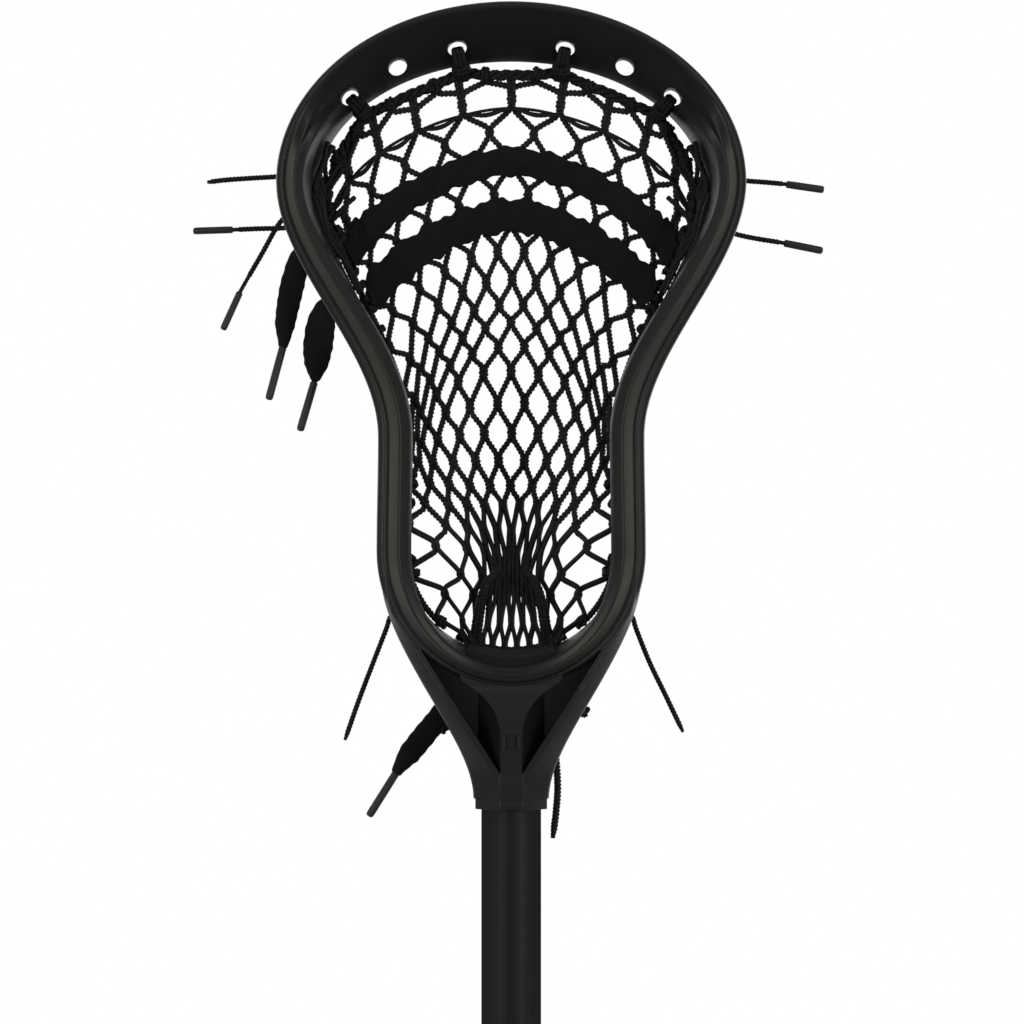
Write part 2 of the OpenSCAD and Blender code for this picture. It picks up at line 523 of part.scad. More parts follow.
module tail_left_upper() color(cloth) tube(lifted(left_upper), [2.2, 1, 1, 1, 1, 1.2], [2.2, 1, 1, 1, 1, 1.2]);
module tail_left_middle() color(cloth) tube(lifted(left_middle), [2.2, 1, 1, 1, 1], [2.2, 1, 1, 1, 1]);
module tail_left_slant() color(cloth) tube(lifted(left_slant), [2.2, 1, 1, 1, 1], [2.2, 1, 1, 1, 1]);
module tail_right_upper() color(cloth) tube(lifted(right_upper), [2.2, 1, 1, 1, 1], [2.2, 1, 1, 1, 1]);
module tail_right_middle() color(cloth) tube(lifted(right_middle), [2.2, 1, 1, 1, 1], [2.2, 1, 1, 1, 1]);
module tail_throat_left() color(cloth) tube(lifted(throat_left), [2.2, 1, 1, 1, 1, 1.1], [2.2, 1, 1, 1, 1, 1.1]);
module tail_throat_right() color(cloth) tube(lifted(throat_right), [2.2, 1, 1, 1, 1, 1.1], [2.2, 1, 1, 1, 1, 1.1]);
module tail_shaft() color(cloth) tube(lifted(shaft_end), [2.2, 2, 2, 1.9, 1.7, 1.5, 1.5], [2.2, 2, 2, 1.9, 1.7, 1.5, 1.5]);
module lace_tail_upper() color(cloth) tube(lifted(upper_end), [3, 4.4, 4.8, 4.6, 3.6, 1.8], [1.6, 1.4, 1.2, 1.2, 1.4, 1.6]);
module lace_tail_lower() color(cloth) tube(lifted(lower_end), [3, 4.6, 6, 6.4, 4.4, 1.8], [1.6, 1.6, 1.4, 1.4, 1.5, 1.6]);
module lace_tail_bottom() color(cloth) tube(lifted(bottom_end), [3, 4, 4.4, 4.8, 4.8, 4, 1.8], [1.6, 1.6, 1.4, 1.2, 1.2, 1.4, 1.6]);

// tip of a cord: from its last point to the end of the aglet
module aglet(path, end, r) {
    a = lifted([path[len(path) - 1], end]);
    dir = unit(a[1] - a[0]);
    bore((a[0] + a[1]) / 2 + dir * 0.6, dir, 2 * r, norm(a[1] - a[0]), 8);
}
module string_aglets() color("#26282a") {
    aglet(left_middle, left_middle_tip, 1.4);
    aglet(left_slant, left_slant_tip, 1.4);
    aglet(right_upper, right_upper_tip, 1.5);
    aglet(right_middle, right_middle_tip, 1.5);
}
module lace_aglets() color("#26282a") {
    aglet(upper_end, upper_tip, 1.6);
    aglet(lower_end, lower_tip, 1.6);
    aglet(bottom_end, bottom_tip, 1.6);
}

head_frame();
ball_stop();
shaft();
end_cap();
head_screw();
mesh_pocket();
top_string();
top_string_loops();
side_string_left();
side_string_right();
shooting_lace_upper();
shooting_lace_lower();
shooting_cord();
bottom_lace();
tail_left_upper();
tail_left_middle();
tail_left_slant();
tail_right_upper();
tail_right_middle();
tail_throat_left();
tail_throat_right();
tail_shaft();
lace_tail_upper();
lace_tail_lower();
lace_tail_bottom();
string_aglets();
lace_aglets();
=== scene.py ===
import math
import random

import bmesh
import bpy
from mathutils import Matrix, Vector


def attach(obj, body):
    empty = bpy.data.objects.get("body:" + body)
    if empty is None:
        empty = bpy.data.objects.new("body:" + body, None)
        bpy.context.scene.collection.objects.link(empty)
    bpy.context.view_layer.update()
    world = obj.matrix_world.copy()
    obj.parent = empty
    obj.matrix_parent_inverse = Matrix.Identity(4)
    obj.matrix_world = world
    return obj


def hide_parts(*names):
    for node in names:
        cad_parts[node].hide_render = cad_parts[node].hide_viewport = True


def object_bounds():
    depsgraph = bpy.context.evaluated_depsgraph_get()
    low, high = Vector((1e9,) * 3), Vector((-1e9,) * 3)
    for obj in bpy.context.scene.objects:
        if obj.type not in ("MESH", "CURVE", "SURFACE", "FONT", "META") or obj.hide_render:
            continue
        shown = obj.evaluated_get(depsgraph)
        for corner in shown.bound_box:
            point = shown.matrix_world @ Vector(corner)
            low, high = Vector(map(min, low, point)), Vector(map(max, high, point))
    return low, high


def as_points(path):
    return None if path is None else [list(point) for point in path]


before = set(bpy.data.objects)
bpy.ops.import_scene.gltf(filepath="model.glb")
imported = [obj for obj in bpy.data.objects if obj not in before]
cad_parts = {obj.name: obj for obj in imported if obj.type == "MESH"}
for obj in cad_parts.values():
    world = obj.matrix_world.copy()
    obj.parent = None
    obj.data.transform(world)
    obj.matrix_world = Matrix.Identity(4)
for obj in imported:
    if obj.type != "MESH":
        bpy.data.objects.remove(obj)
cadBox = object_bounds()
scene = bpy.context.scene
scene.view_settings.view_transform = "Standard"
mm = 0.001
rng = random.Random(7)
print("frame loaded")

# camera, light and stage
cameraSet = {"place": (0.0003, -1.7, 0.4523), "lens": 153.4}
cameraData = bpy.data.cameras.new("camera")
cameraData.lens = cameraSet["lens"]
cameraData.sensor_width = 36
camera = bpy.data.objects.new("camera", cameraData)
camera.location = cameraSet["place"]
camera.rotation_euler = (math.pi / 2, 0, 0)
scene.collection.objects.link(camera)
scene.camera = camera

# name: place, watts, size, size across
lamps = {
    "keyLeft": ((-1.4, -1.6, 0.8), 36, 0.5, 1.3),
    "fillRight": ((1.4, -1.6, 0.8), 36, 0.5, 1.3),
    "front": ((0.0, -1.5, 1.9), 6, 1.2, 0.6),
    "backLeft": ((-1.2, 1.3, 1.1), 14, 0.8, 1.2),
    "backRight": ((1.2, 1.3, 0.7), 12, 0.8, 1.2),
}
for name, (place, watts, size, across) in lamps.items():
    lampData = bpy.data.lights.new(name, "AREA")
    lampData.shape = "RECTANGLE"
    lampData.size = size
    lampData.size_y = across
    lampData.energy = watts
    lamp = bpy.data.objects.new(name, lampData)
    lamp.location = place
    aim = Vector((0, 0, 0.5)) - Vector(place)
    lamp.rotation_euler = aim.to_track_quat("-Z", "Y").to_euler()
    scene.collection.objects.link(lamp)


# shader helpers
class Value:
    # wraps an output socket, so that sums and products on it add Math nodes
    def __init__(self, material, socket):
        self.material = material
        self.socket = socket

    def maths(self, operation, *others):
        return self.material.add("ShaderNodeMath", {"operation": operation}, [self, *others])

    def __add__(self, other):
        return self.maths("ADD", other)

    def __radd__(self, other):
        return self.maths("ADD", other)

    def __sub__(self, other):
        return self.maths("SUBTRACT", other)

    def __rsub__(self, other):
        return self.material.add("ShaderNodeMath", {"operation": "SUBTRACT"}, [other, self])

    def __mul__(self, other):
        return self.maths("MULTIPLY", other)

    def __rmul__(self, other):
        return self.maths("MULTIPLY", other)

    def __truediv__(self, other):
        return self.maths("DIVIDE", other)

    def __pow__(self, other):
        return self.maths("POWER", other)


class Finish:
    # one material: its nodes and its main shader
    def __init__(self, name, **constants):
        self.data = bpy.data.materials.new(name)
        self.data.use_nodes = True
        self.tree = self.data.node_tree
        self.main = self.tree.nodes["Principled BSDF"]
        for key, number in constants.items():
            self.main.inputs[key.replace("_", " ")].default_value = number

    def add(self, kind, settings=None, inputs=None, output=0):
        node = self.tree.nodes.new(kind)
        for key, setting in (settings or {}).items():
            if key == "stops":
                ramp = node.color_ramp.elements
                for number, (spot, level) in enumerate(setting):
                    stop = ramp[number] if number < 2 else ramp.new(spot)
                    stop.position = spot
                    stop.color = (level, level, level, 1)
            else:
                setattr(node, key, setting)
        pairs = inputs.items() if isinstance(inputs, dict) else enumerate(inputs or [])
        for key, item in pairs:
            if isinstance(item, Value):
                self.tree.links.new(item.socket, node.inputs[key])
            else:
                node.inputs[key].default_value = item
        return Value(self, node.outputs[output])

    def place(self, scale=(1, 1, 1)):
        spot = self.add("ShaderNodeTexCoord", output="Object")
        return self.add("ShaderNodeMapping", None, {"Vector": spot, "Scale": scale})

    def noise(self, vector, scale, detail=4, rough=0.55):
        settings = {"Vector": vector, "Scale": scale, "Detail": detail, "Roughness": rough}
        return self.add("ShaderNodeTexNoise", None, settings)

    def ramp(self, value, *stops):
        return self.add("ShaderNodeValToRGB", {"stops": stops}, [value])

    def blend(self, factor, first, second):
        colours = {0: factor, 6: first, 7: second}
        return self.add("ShaderNodeMix", {"data_type": "RGBA"}, colours, output=2)

    def bump(self, height, strength, distance):
        settings = {"Height": height, "Strength": strength, "Distance": distance}
        return self.add("ShaderNodeBump", None, settings)

    def link(self, **sockets):
        for key, value in sockets.items():
            self.tree.links.new(value.socket, self.main.inputs[key.replace("_", " ")])


def shade(tone, green=1.08):
    return (tone, tone * green, tone * 0.88, 1)


def mouldedPlastic():
    tint = (0.98, 1, 0.92, 1)
    finish = Finish("head_plastic", IOR=1.48, Specular_IOR_Level=0.11, Specular_Tint=tint)
    spot = finish.place()
    cloud = finish.noise(spot, 14, 3)
    grain = finish.noise(spot, 2600, 2, 0.6)
    scuff = finish.ramp(finish.noise(finish.place((40, 40, 9)), 6, 6, 0.7), (0.55, 0), (0.8, 1))
    finish.link(
        Base_Color=finish.blend(cloud, shade(0.003), shade(0.0042)),
        Roughness=0.36 + cloud * 0.06 + scuff * 0.05,
        Normal=finish.bump(grain + scuff * 0.2, 0.25, 0.00012),
    )
    return finish.data


def anodised():
    tint = (0.98, 1, 0.94, 1)
    finish = Finish("shaft_alloy", Metallic=0.0, IOR=1.5, Specular_IOR_Level=0.08, Specular_Tint=tint)
    streak = finish.noise(finish.place((900, 900, 5)), 1, 5, 0.65)
    cloud = finish.noise(finish.place(), 22, 3)
    finish.link(
        Base_Color=finish.blend(cloud, shade(0.0026), shade(0.0036)),
        Roughness=0.32 + streak * 0.1 + cloud * 0.06,
        Normal=finish.bump(streak, 0.12, 0.00008),
    )
    return finish.data


def rubber():
    finish = Finish("cap_rubber", IOR=1.5, Specular_IOR_Level=0.2)
    spot = finish.place()
    cloud = finish.noise(spot, 60, 4)
    grit = finish.noise(spot, 1500, 4, 0.7)
    finish.link(
        Base_Color=finish.blend(cloud, shade(0.007, 1.0), shade(0.012, 1.0)),
        Roughness=0.62 + grit * 0.2,
        Normal=finish.bump(grit, 0.4, 0.0002),
    )
    return finish.data


def foam():
    finish = Finish("pad_foam", IOR=1.45, Specular_IOR_Level=0.07)
    spot = finish.place()
    pores = finish.add("ShaderNodeTexVoronoi", {"feature": "F1"}, {"Vector": spot, "Scale": 1500})
    cloud = finish.noise(spot, 90, 4)
    finish.link(
        Base_Color=finish.blend(cloud, shade(0.0036), shade(0.0056)),
        Roughness=0.8 + pores * 0.15,
        Normal=finish.bump(pores + cloud * 0.5, 0.35, 0.0002),
    )
    return finish.data


def steel():
    finish = Finish("screw_steel", Metallic=1.0)
    streak = finish.noise(finish.place((300, 4000, 3000)), 1, 4, 0.6)
    finish.link(
        Base_Color=finish.blend(streak, (0.3, 0.3, 0.31, 1), (0.42, 0.42, 0.43, 1)),
        Roughness=0.24 + streak * 0.14,
        Normal=finish.bump(streak, 0.1, 0.00005),
    )
    return finish.data


def waxedCord(name, tone, roughness, fibre):
    # spun cord: fine fibres, and waxed spots that are smoother and painted lighter, a painted glint
    finish = Finish(name, IOR=1.5, Specular_IOR_Level=0.1)
    spot = finish.place()
    fibres = finish.noise(spot, fibre, 3, 0.7)
    waxAndGlint = finish.ramp(finish.noise(spot, 420, 5, 0.75), (0.52, 0), (0.66, 1))
    finish.link(
        # waxed spots: their lower roughness is real, their lighter base colour is a painted glint
        Base_Color=finish.blend(waxAndGlint, shade(tone * 0.7), shade(tone * 1.5)),
        Roughness=roughness - waxAndGlint * 0.22 + fibres * 0.1,
        Normal=finish.bump(fibres + waxAndGlint * 0.4, 0.6, 0.0003),
    )
    return finish.data


def slickCord():
    finish = Finish("nylon_cord", IOR=1.5, Specular_IOR_Level=0.06)
    spot = finish.place()
    strands = finish.noise(finish.place((260, 260, 900)), 4, 3, 0.6)
    cloud = finish.noise(spot, 240, 4)
    finish.link(
        Base_Color=finish.blend(cloud, shade(0.003), shade(0.006)),
        Roughness=0.5 + cloud * 0.16,
        Normal=finish.bump(strands, 0.4, 0.0002),
    )
    return finish.data


def wovenLace():
    # flat weave on the lace's own map: x across, y along, both in millimetres
    finish = Finish("lace_cloth", IOR=1.45, Specular_IOR_Level=0.07)
    across = finish.add("ShaderNodeUVMap", {"uv_map": "weave"})
    parts = finish.tree.nodes.new("ShaderNodeSeparateXYZ")
    finish.tree.links.new(across.socket, parts.inputs[0])
    x = Value(finish, parts.outputs[0])
    y = Value(finish, parts.outputs[1])
    left = (x * 4.6 + y * 5.2).maths("SINE")
    right = (x * 4.6 - y * 5.2).maths("SINE")
    weave = left.maths("MAXIMUM", right)
    fuzz = finish.noise(finish.place(), 2400, 4, 0.7)
    cloud = finish.noise(finish.place(), 130, 4, 0.6)
    finish.link(
        # raised weave threads are painted lighter and its grooves darker, a painted shade; the cloud is
        # random tone
        Base_Color=finish.blend(weave * 0.4 + cloud * 0.6, shade(0.002), shade(0.0066)),
        Roughness=0.75 + fuzz * 0.2,
        Normal=finish.bump(weave * 0.6 + fuzz * 0.7 + cloud * 0.6, 0.55, 0.0004),
    )
    return finish.data


def sleeve():
    finish = Finish("aglet_plastic", IOR=1.5, Specular_IOR_Level=0.14)
    spot = finish.place()
    cloud = finish.noise(spot, 320, 4)
    finish.link(
        Base_Color=finish.blend(cloud, shade(0.005, 1.02), shade(0.009, 1.02)),
        Roughness=0.4 + cloud * 0.16,
        Normal=finish.bump(cloud, 0.15, 0.0002),
    )
    return finish.data


finishes = {
    "head_plastic": mouldedPlastic(),
    "shaft_alloy": anodised(),
    "cap_rubber": rubber(),
    "pad_foam": foam(),
    "screw_steel": steel(),
    "mesh_cord": waxedCord("mesh_cord", 0.0058, 0.62, 3400),
    "string_cord": waxedCord("string_cord", 0.0042, 0.66, 3000),
    "nylon_cord": slickCord(),
    "lace_cloth": wovenLace(),
    "aglet_plastic": sleeve(),
}
print("finishes made")


# outline, depths and wall of the head, as in the solids; lengths in millimetres
head = {
    "length": 314, "face": 184.6, "scoopRise": 69.3, "waist": 104.6, "waistTop": 145,
    "base": 105.6, "baseHeight": 100, "low": 337, "frontY": (-6, 3, -1, -3, -18.5),
    "backY": (26, 37, 44, 43, 31), "rail": (20.8, 11.7, 14, 14, 7.9),
    "lean": (0, 4.4, -4.4, -4.4, 4), "scoopThick": 4.5, "web": 3, "backRailW": 7, "backRailD": 7.5,
}
faceHeight = head["length"] - head["scoopRise"]


def clamp(t):
    return min(1.0, max(0.0, t))


def ease(t):
    t = clamp(t)
    return t * t * (3 - 2 * t)


def mix(a, b, t):
    return a + (b - a) * t


def along(values, q):
    u = min(4.0, max(0.0, q))
    i = min(3, int(u))
    return mix(values[i], values[i + 1], ease(u - i))


def at(values, k):
    u = min(len(values) - 1.0, max(0.0, k))
    i = min(len(values) - 2, int(u))
    return mix(values[i], values[i + 1], u - i)


def halfOutline(q):
    if q <= 1:
        angle = math.radians(90 * q)
        return (head["face"] / 2 * math.sin(angle), faceHeight + head["scoopRise"] * math.cos(angle))
    if q <= 2:
        x = mix(head["waist"], head["face"], ease(2 - q)) / 2
        return (x, mix(faceHeight, head["waistTop"], q - 1))
    if q <= 3:
        x = mix(head["waist"], head["base"], ease(q - 2)) / 2
        return (x, mix(head["waistTop"], head["baseHeight"], q - 2))
    angle = math.radians(90 * (q - 3))
    radius = head["base"] / 2
    return (radius * math.cos(angle), head["baseHeight"] - radius * math.sin(angle))


def outline(p):
    x, h = halfOutline(abs(p))
    return (-x if p < 0 else x, h)


def inward(p):
    ahead = outline(p + 0.01)
    behind = outline(p - 0.01)
    x, h = ahead[0] - behind[0], ahead[1] - behind[1]
    length = math.hypot(x, h)
    return (h / length, -x / length)


def rail(q):
    return along(head["rail"], q)


def lean(q):
    return along(head["lean"], q)


def wall(q):
    return rail(q) + lean(q)


def front(q):
    return along(head["frontY"], q)


def back(q):
    return along(head["backY"], q)


# point at path place p, n inward of the outline and at depth y
def place(p, n, y):
    x, h = outline(p)
    dx, dh = inward(p)
    return Vector((x + dx * n, y, head["low"] + h + dh * n))


def wallRun(p, out, y):
    return place(p, wall(abs(p)) + out, back(abs(p)) + y)


# smooth line through points, one about every step
def smoothLine(points, step):
    points = [Vector(p) for p in points]
    ends = [points[0] * 2 - points[1], *points, points[-1] * 2 - points[-2]]
    line = []
    for i in range(1, len(ends) - 2):
        a, b, c, d = ends[i - 1 : i + 3]
        count = max(1, round((c - b).length / step))
        for j in range(count):
            t = j / count
            spot = b * 2 + (c - a) * t
            spot += (a * 2 - b * 5 + c * 4 - d) * t * t
            spot += (b * 3 - a - c * 3 + d) * t ** 3
            line.append(0.5 * spot)
    line.append(points[-1])
    return line


def lineLength(line):
    return sum((b - a).length for a, b in zip(line, line[1:]))


# mesh helpers
def finishPiece(name, mesh, slotName, nodes, body="stick", smooth=True):
    piece = bpy.data.objects.new(name, mesh)
    scene.collection.objects.link(piece)
    mesh.materials.clear()
    mesh.materials.append(finishes[slotName])
    if smooth:
        mesh.shade_smooth()
    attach(piece, body)
    if nodes:
        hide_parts(*nodes)
    return piece


def meshFrom(form, name, angle=None):
    mesh = bpy.data.meshes.new(name)
    form.to_mesh(mesh)
    form.free()
    if angle is not None:
        mesh.shade_smooth()
        mesh.set_sharp_from_angle(angle=math.radians(angle))
    return mesh


# grid of cells bent to a surface by spot(u, v), u and v from 0 to 1
def bentGrid(across, up, spot, joinU=False, joinV=False, capEnds=False, keepMap=None):
    form = bmesh.new()
    bmesh.ops.create_grid(form, x_segments=across, y_segments=up, size=1, calc_uvs=True)
    weave = form.loops.layers.uv.new("weave") if keepMap else None
    shares = {v: ((v.co.x + 1) / 2, (v.co.y + 1) / 2) for v in form.verts}
    if keepMap:
        for face in form.faces:
            for loop in face.loops:
                loop[weave].uv = keepMap(*shares[loop.vert])
    for v, (u, w) in shares.items():
        v.co = Vector(spot(u, w)) * mm
    if joinU or joinV:
        rim = [v for v in form.verts if v.is_boundary]
        bmesh.ops.remove_doubles(form, verts=rim, dist=0.000002)
    if capEnds:
        rim = [e for e in form.edges if e.is_boundary]
        bmesh.ops.holes_fill(form, edges=rim, sides=0)
    bmesh.ops.recalc_face_normals(form, faces=form.faces)
    return form


# corners of a section rounded with short curves; corners are (x, y, radius)
def rounded(corners, cuts=3):
    made = []
    for i, (x, y, radius) in enumerate(corners):
        spot = Vector((x, y))
        before = Vector(corners[i - 1][:2]) - spot
        after = Vector(corners[(i + 1) % len(corners)][:2]) - spot
        a = spot + before * min(0.46, radius / max(before.length, 1e-6))
        b = spot + after * min(0.46, radius / max(after.length, 1e-6))
        for j in range(cuts + 1):
            t = j / cuts
            made.append(a * (1 - t) ** 2 + spot * 2 * t * (1 - t) + b * t * t)
    return made


# each kind of cord: lobes of its section, their depth, length of one twist, sides of the section
cordKinds = {
    "tail": (3, 0.13, 4.4, 12),
    "net": (2, 0.24, 3.4, 10),
    "tie": (2, 0.14, 3.6, 10),
    "rope": (3, 0.16, 5.0, 12),
    "knot": (3, 0.16, 4.6, 12),
    "side": (3, 0.18, 5.0, 10),
    "nylon": (4, 0.08, 7.0, 12),
    "foot": (3, 0.12, 5.0, 12),
}


# cord meshes: a lobed profile swept along lines, turning as a twisted cord does
def sweptCord(lines, radius, kind, ends=None, phase=0.0):
    lobes, depth, pitch, sides = cordKinds[kind]
    profile = bpy.data.curves.new("profile", "CURVE")
    profile.dimensions = "2D"
    ring = profile.splines.new("POLY")
    ring.points.add(sides - 1)
    ring.use_cyclic_u = True
    for i, point in enumerate(ring.points):
        angle = 2 * math.pi * i / sides
        reach = radius * mm * (1 - depth + depth * abs(math.cos(lobes * angle / 2)) * 2)
        point.co = (reach * math.cos(angle), reach * math.sin(angle), 0, 1)
    profileObject = bpy.data.objects.new("profile", profile)
    scene.collection.objects.link(profileObject)
    curve = bpy.data.curves.new("sweep", "CURVE")
    curve.dimensions = "3D"
    curve.twist_mode = "MINIMUM"
    curve.bevel_mode = "OBJECT"
    curve.bevel_object = profileObject
    curve.use_fill_caps = True
    for number, line in enumerate(lines):
        spline = curve.splines.new("POLY")
        spline.points.add(len(line) - 1)
        run = 0.0
        for i, spot in enumerate(line):
            if i:
                run += (spot - line[i - 1]).length
            point = spline.points[i]
            point.co = (spot.x * mm, spot.y * mm, spot.z * mm, 1)
            point.tilt = 2 * math.pi * run / pitch + number * phase
            point.radius = ends(number, i / (len(line) - 1)) if ends else 1.0
    holder = bpy.data.objects.new("sweep", curve)
    scene.collection.objects.link(holder)
    bpy.context.view_layer.update()
    graph = bpy.context.evaluated_depsgraph_get()
    mesh = bpy.data.meshes.new_from_object(holder.evaluated_get(graph))
    bpy.data.objects.remove(holder)
    bpy.data.objects.remove(profileObject)
    form = bmesh.new()
    form.from_mesh(mesh)
    bmesh.ops.remove_doubles(form, verts=form.verts, dist=0.000001)
    bmesh.ops.recalc_face_normals(form, faces=form.faces)
    form.to_mesh(mesh)
    form.free()
    mesh.shade_smooth()
    return mesh


# loose cords, made before the rest so that the camera's check sees them first
# points of each route in millimetres, heights above the collar
tails = {
    "tail_left_upper": (
        (-84, 33, 249.5), (-88, 35, 249), (-93.5, 35, 248.6), (-103.8, 35, 248), (-113.8, 35, 247.3),
        (-120.9, 35, 246.4),
    ),
    "tail_left_middle": (
        (-81.7, 34, 229), (-87, 36, 228.6), (-92, 36, 228.2), (-101, 36, 228), (-110.7, 36, 227.6),
    ),
    "tail_left_slant": (
        (-83.5, 35, 236), (-88.5, 38.8, 234), (-93, 39.6, 229.6), (-99.2, 39, 218.5), (-108, 37, 202.8),
    ),
    "tail_right_upper": (
        (84.2, 33, 248.5), (88, 35, 247.8), (94.2, 35, 246.9), (101, 35, 246.4), (109.3, 35, 245.6),
    ),
    "tail_right_middle": (
        (81.3, 34, 228.6), (86, 36, 227), (91.4, 36, 225.3), (99, 36, 223.8), (108.5, 36, 222.3),
    ),
    "tail_throat_left": (
        (-45.8, 36.4, 76.8), (-48.4, 37, 73), (-49.8, 36.6, 68.6), (-55, 33, 55), (-60.5, 31, 40.5),
        (-65.9, 29, 24.9),
    ),
    "tail_throat_right": (
        (45.8, 36.4, 76.8), (48.4, 37, 73), (49.8, 36.6, 68.6), (55, 33, 55.5), (61.5, 31, 42),
        (68.1, 29, 28.1),
    ),
    "tail_shaft": (
        (14, 34.9, 56), (15.2, 33.6, 47), (16.4, 28.5, 35), (17.4, 24, 22), (18.3, 19, 8),
        (17.6, 16.5, -3), (16.3, 15, -12.9),
    ),
    "lace_tail_upper": (
        (-79.4, 36, 221.2), (-84, 40, 217), (-86.5, 40, 209), (-88.2, 38, 201), (-89.8, 35, 191),
        (-90.6, 32, 181),
    ),
    "lace_tail_lower": (
        (-70.5, 40, 201.8), (-72, 42, 198.8), (-75.5, 42, 192), (-77, 40, 182), (-77.6, 36, 173),
        (-78.2, 33, 167),
    ),
    "lace_tail_bottom": (
        (-16, 34.5, 57), (-19.6, 33.9, 48), (-24, 31, 40.6), (-29, 28.4, 33.6), (-36, 26, 25),
        (-42, 24, 17.5), (-45.5, 23, 12.3),
    ),
}
# where each aglet ends, and its radius
tips = {
    "tail_left_middle": ((-126.6, 36, 227.1), 1.4),
    "tail_left_slant": ((-114.7, 35, 187.7), 1.4),
    "tail_right_upper": ((124.4, 35, 243.4), 1.5),
    "tail_right_middle": ((124, 36, 219.2), 1.5),
    "lace_tail_upper": ((-96.1, 28, 159.7), 1.6),
    "lace_tail_lower": ((-83.8, 30, 147.4), 1.6),
    "lace_tail_bottom": ((-56.2, 20, -4.7), 1.6),
}
# half width and half thickness of each flat lace along its run
laceWidths = {
    "lace_tail_upper": ((2.8, 4.4, 4.9, 4.6, 4.0, 1.7), (1.5, 1.9, 2.0, 1.9, 1.8, 1.4)),
    "lace_tail_lower": ((3.2, 5.0, 5.9, 6.0, 4.8, 1.7), (1.6, 2.0, 2.1, 2.1, 1.9, 1.4)),
    "lace_tail_bottom": ((3.6, 4.2, 4.3, 4.4, 4.6, 4.4, 2.0), (1.6, 1.8, 1.9, 1.9, 2.0, 1.9, 1.4)),
}


def lifted(points):
    return [Vector((x, y, h + head["low"])) for x, y, h in points]


def inMetres(line):
    return [tuple(spot * mm) for spot in line]


# aglet: a sleeve with a crimped mouth and a rounded tip, as shares of its length and of its radius
agletShape = (
    (0.0, 0.78), (0.02, 0.98), (0.05, 1.0), (0.1, 0.96), (0.13, 1.0),
    (0.5, 1.0), (0.9, 1.0), (0.96, 0.94), (0.99, 0.7), (1.0, 0.3),
)


def agletMesh(name, start, end, radius):
    axis = end - start
    length = axis.length
    form = bmesh.new()
    spin = [form.verts.new((radius * wide * mm, 0, share * length * mm)) for share, wide in agletShape]
    for a, b in zip(spin, spin[1:]):
        form.edges.new((a, b))
    bmesh.ops.spin(
        form, geom=form.verts[:] + form.edges[:], cent=(0, 0, 0), axis=(0, 0, 1),
        angle=2 * math.pi, steps=20, use_merge=True,
    )
    bmesh.ops.remove_doubles(form, verts=form.verts, dist=0.00001)
    bmesh.ops.holes_fill(form, edges=[e for e in form.edges if e.is_boundary], sides=0)
    bmesh.ops.recalc_face_normals(form, faces=form.faces)
    turn = axis.to_track_quat("Z", "Y").to_matrix().to_4x4()
    bmesh.ops.transform(form, matrix=Matrix.Translation(start * mm) @ turn, verts=form.verts)
    return meshFrom(form, name, 40)


# flat lace: a soft closed section that ripples along its run
def flatLace(name, line, halfWide, halfThick, ref, wander):
    steps = len(line) - 1
    sides = 20
    frames = []
    for i, centre in enumerate(line):
        run = (line[min(steps, i + 1)] - line[max(0, i - 1)]).normalized()
        up = (ref - run * ref.dot(run)).normalized()
        frames.append((centre, run.cross(up), up))
    total = lineLength(line)
    waves = [(rng.uniform(0.5, 1.2), rng.uniform(0, 6.28)) for _ in range(3)]

    def spot(u, w):
        i = round(w * steps)
        centre, acrossWay, up = frames[i]
        wide, thick = halfWide(w), halfThick(w)
        angle = 2 * math.pi * u
        x = math.cos(angle)
        y = math.sin(angle)
        x = math.copysign(abs(x) ** 0.8, x)
        fold = sum(math.sin(w * total * f * 0.55 + g + x * 1.3) for f, g in waves) / 3
        edge = 1 + 0.025 * math.sin(w * total * 1.35 + 2 * x)
        taper = min(1.0, 4 * w, 4 * (1 - w))
        height = thick * y * (1 - 0.18 * x * x) + fold * wander * taper
        return centre + acrossWay * wide * x * edge + up * height

    def weave(u, w):
        return (math.cos(2 * math.pi * u) * 5.0, w * total)

    form = bentGrid(sides, steps, spot, joinU=True, capEnds=True, keepMap=weave)
    return meshFrom(form, name)


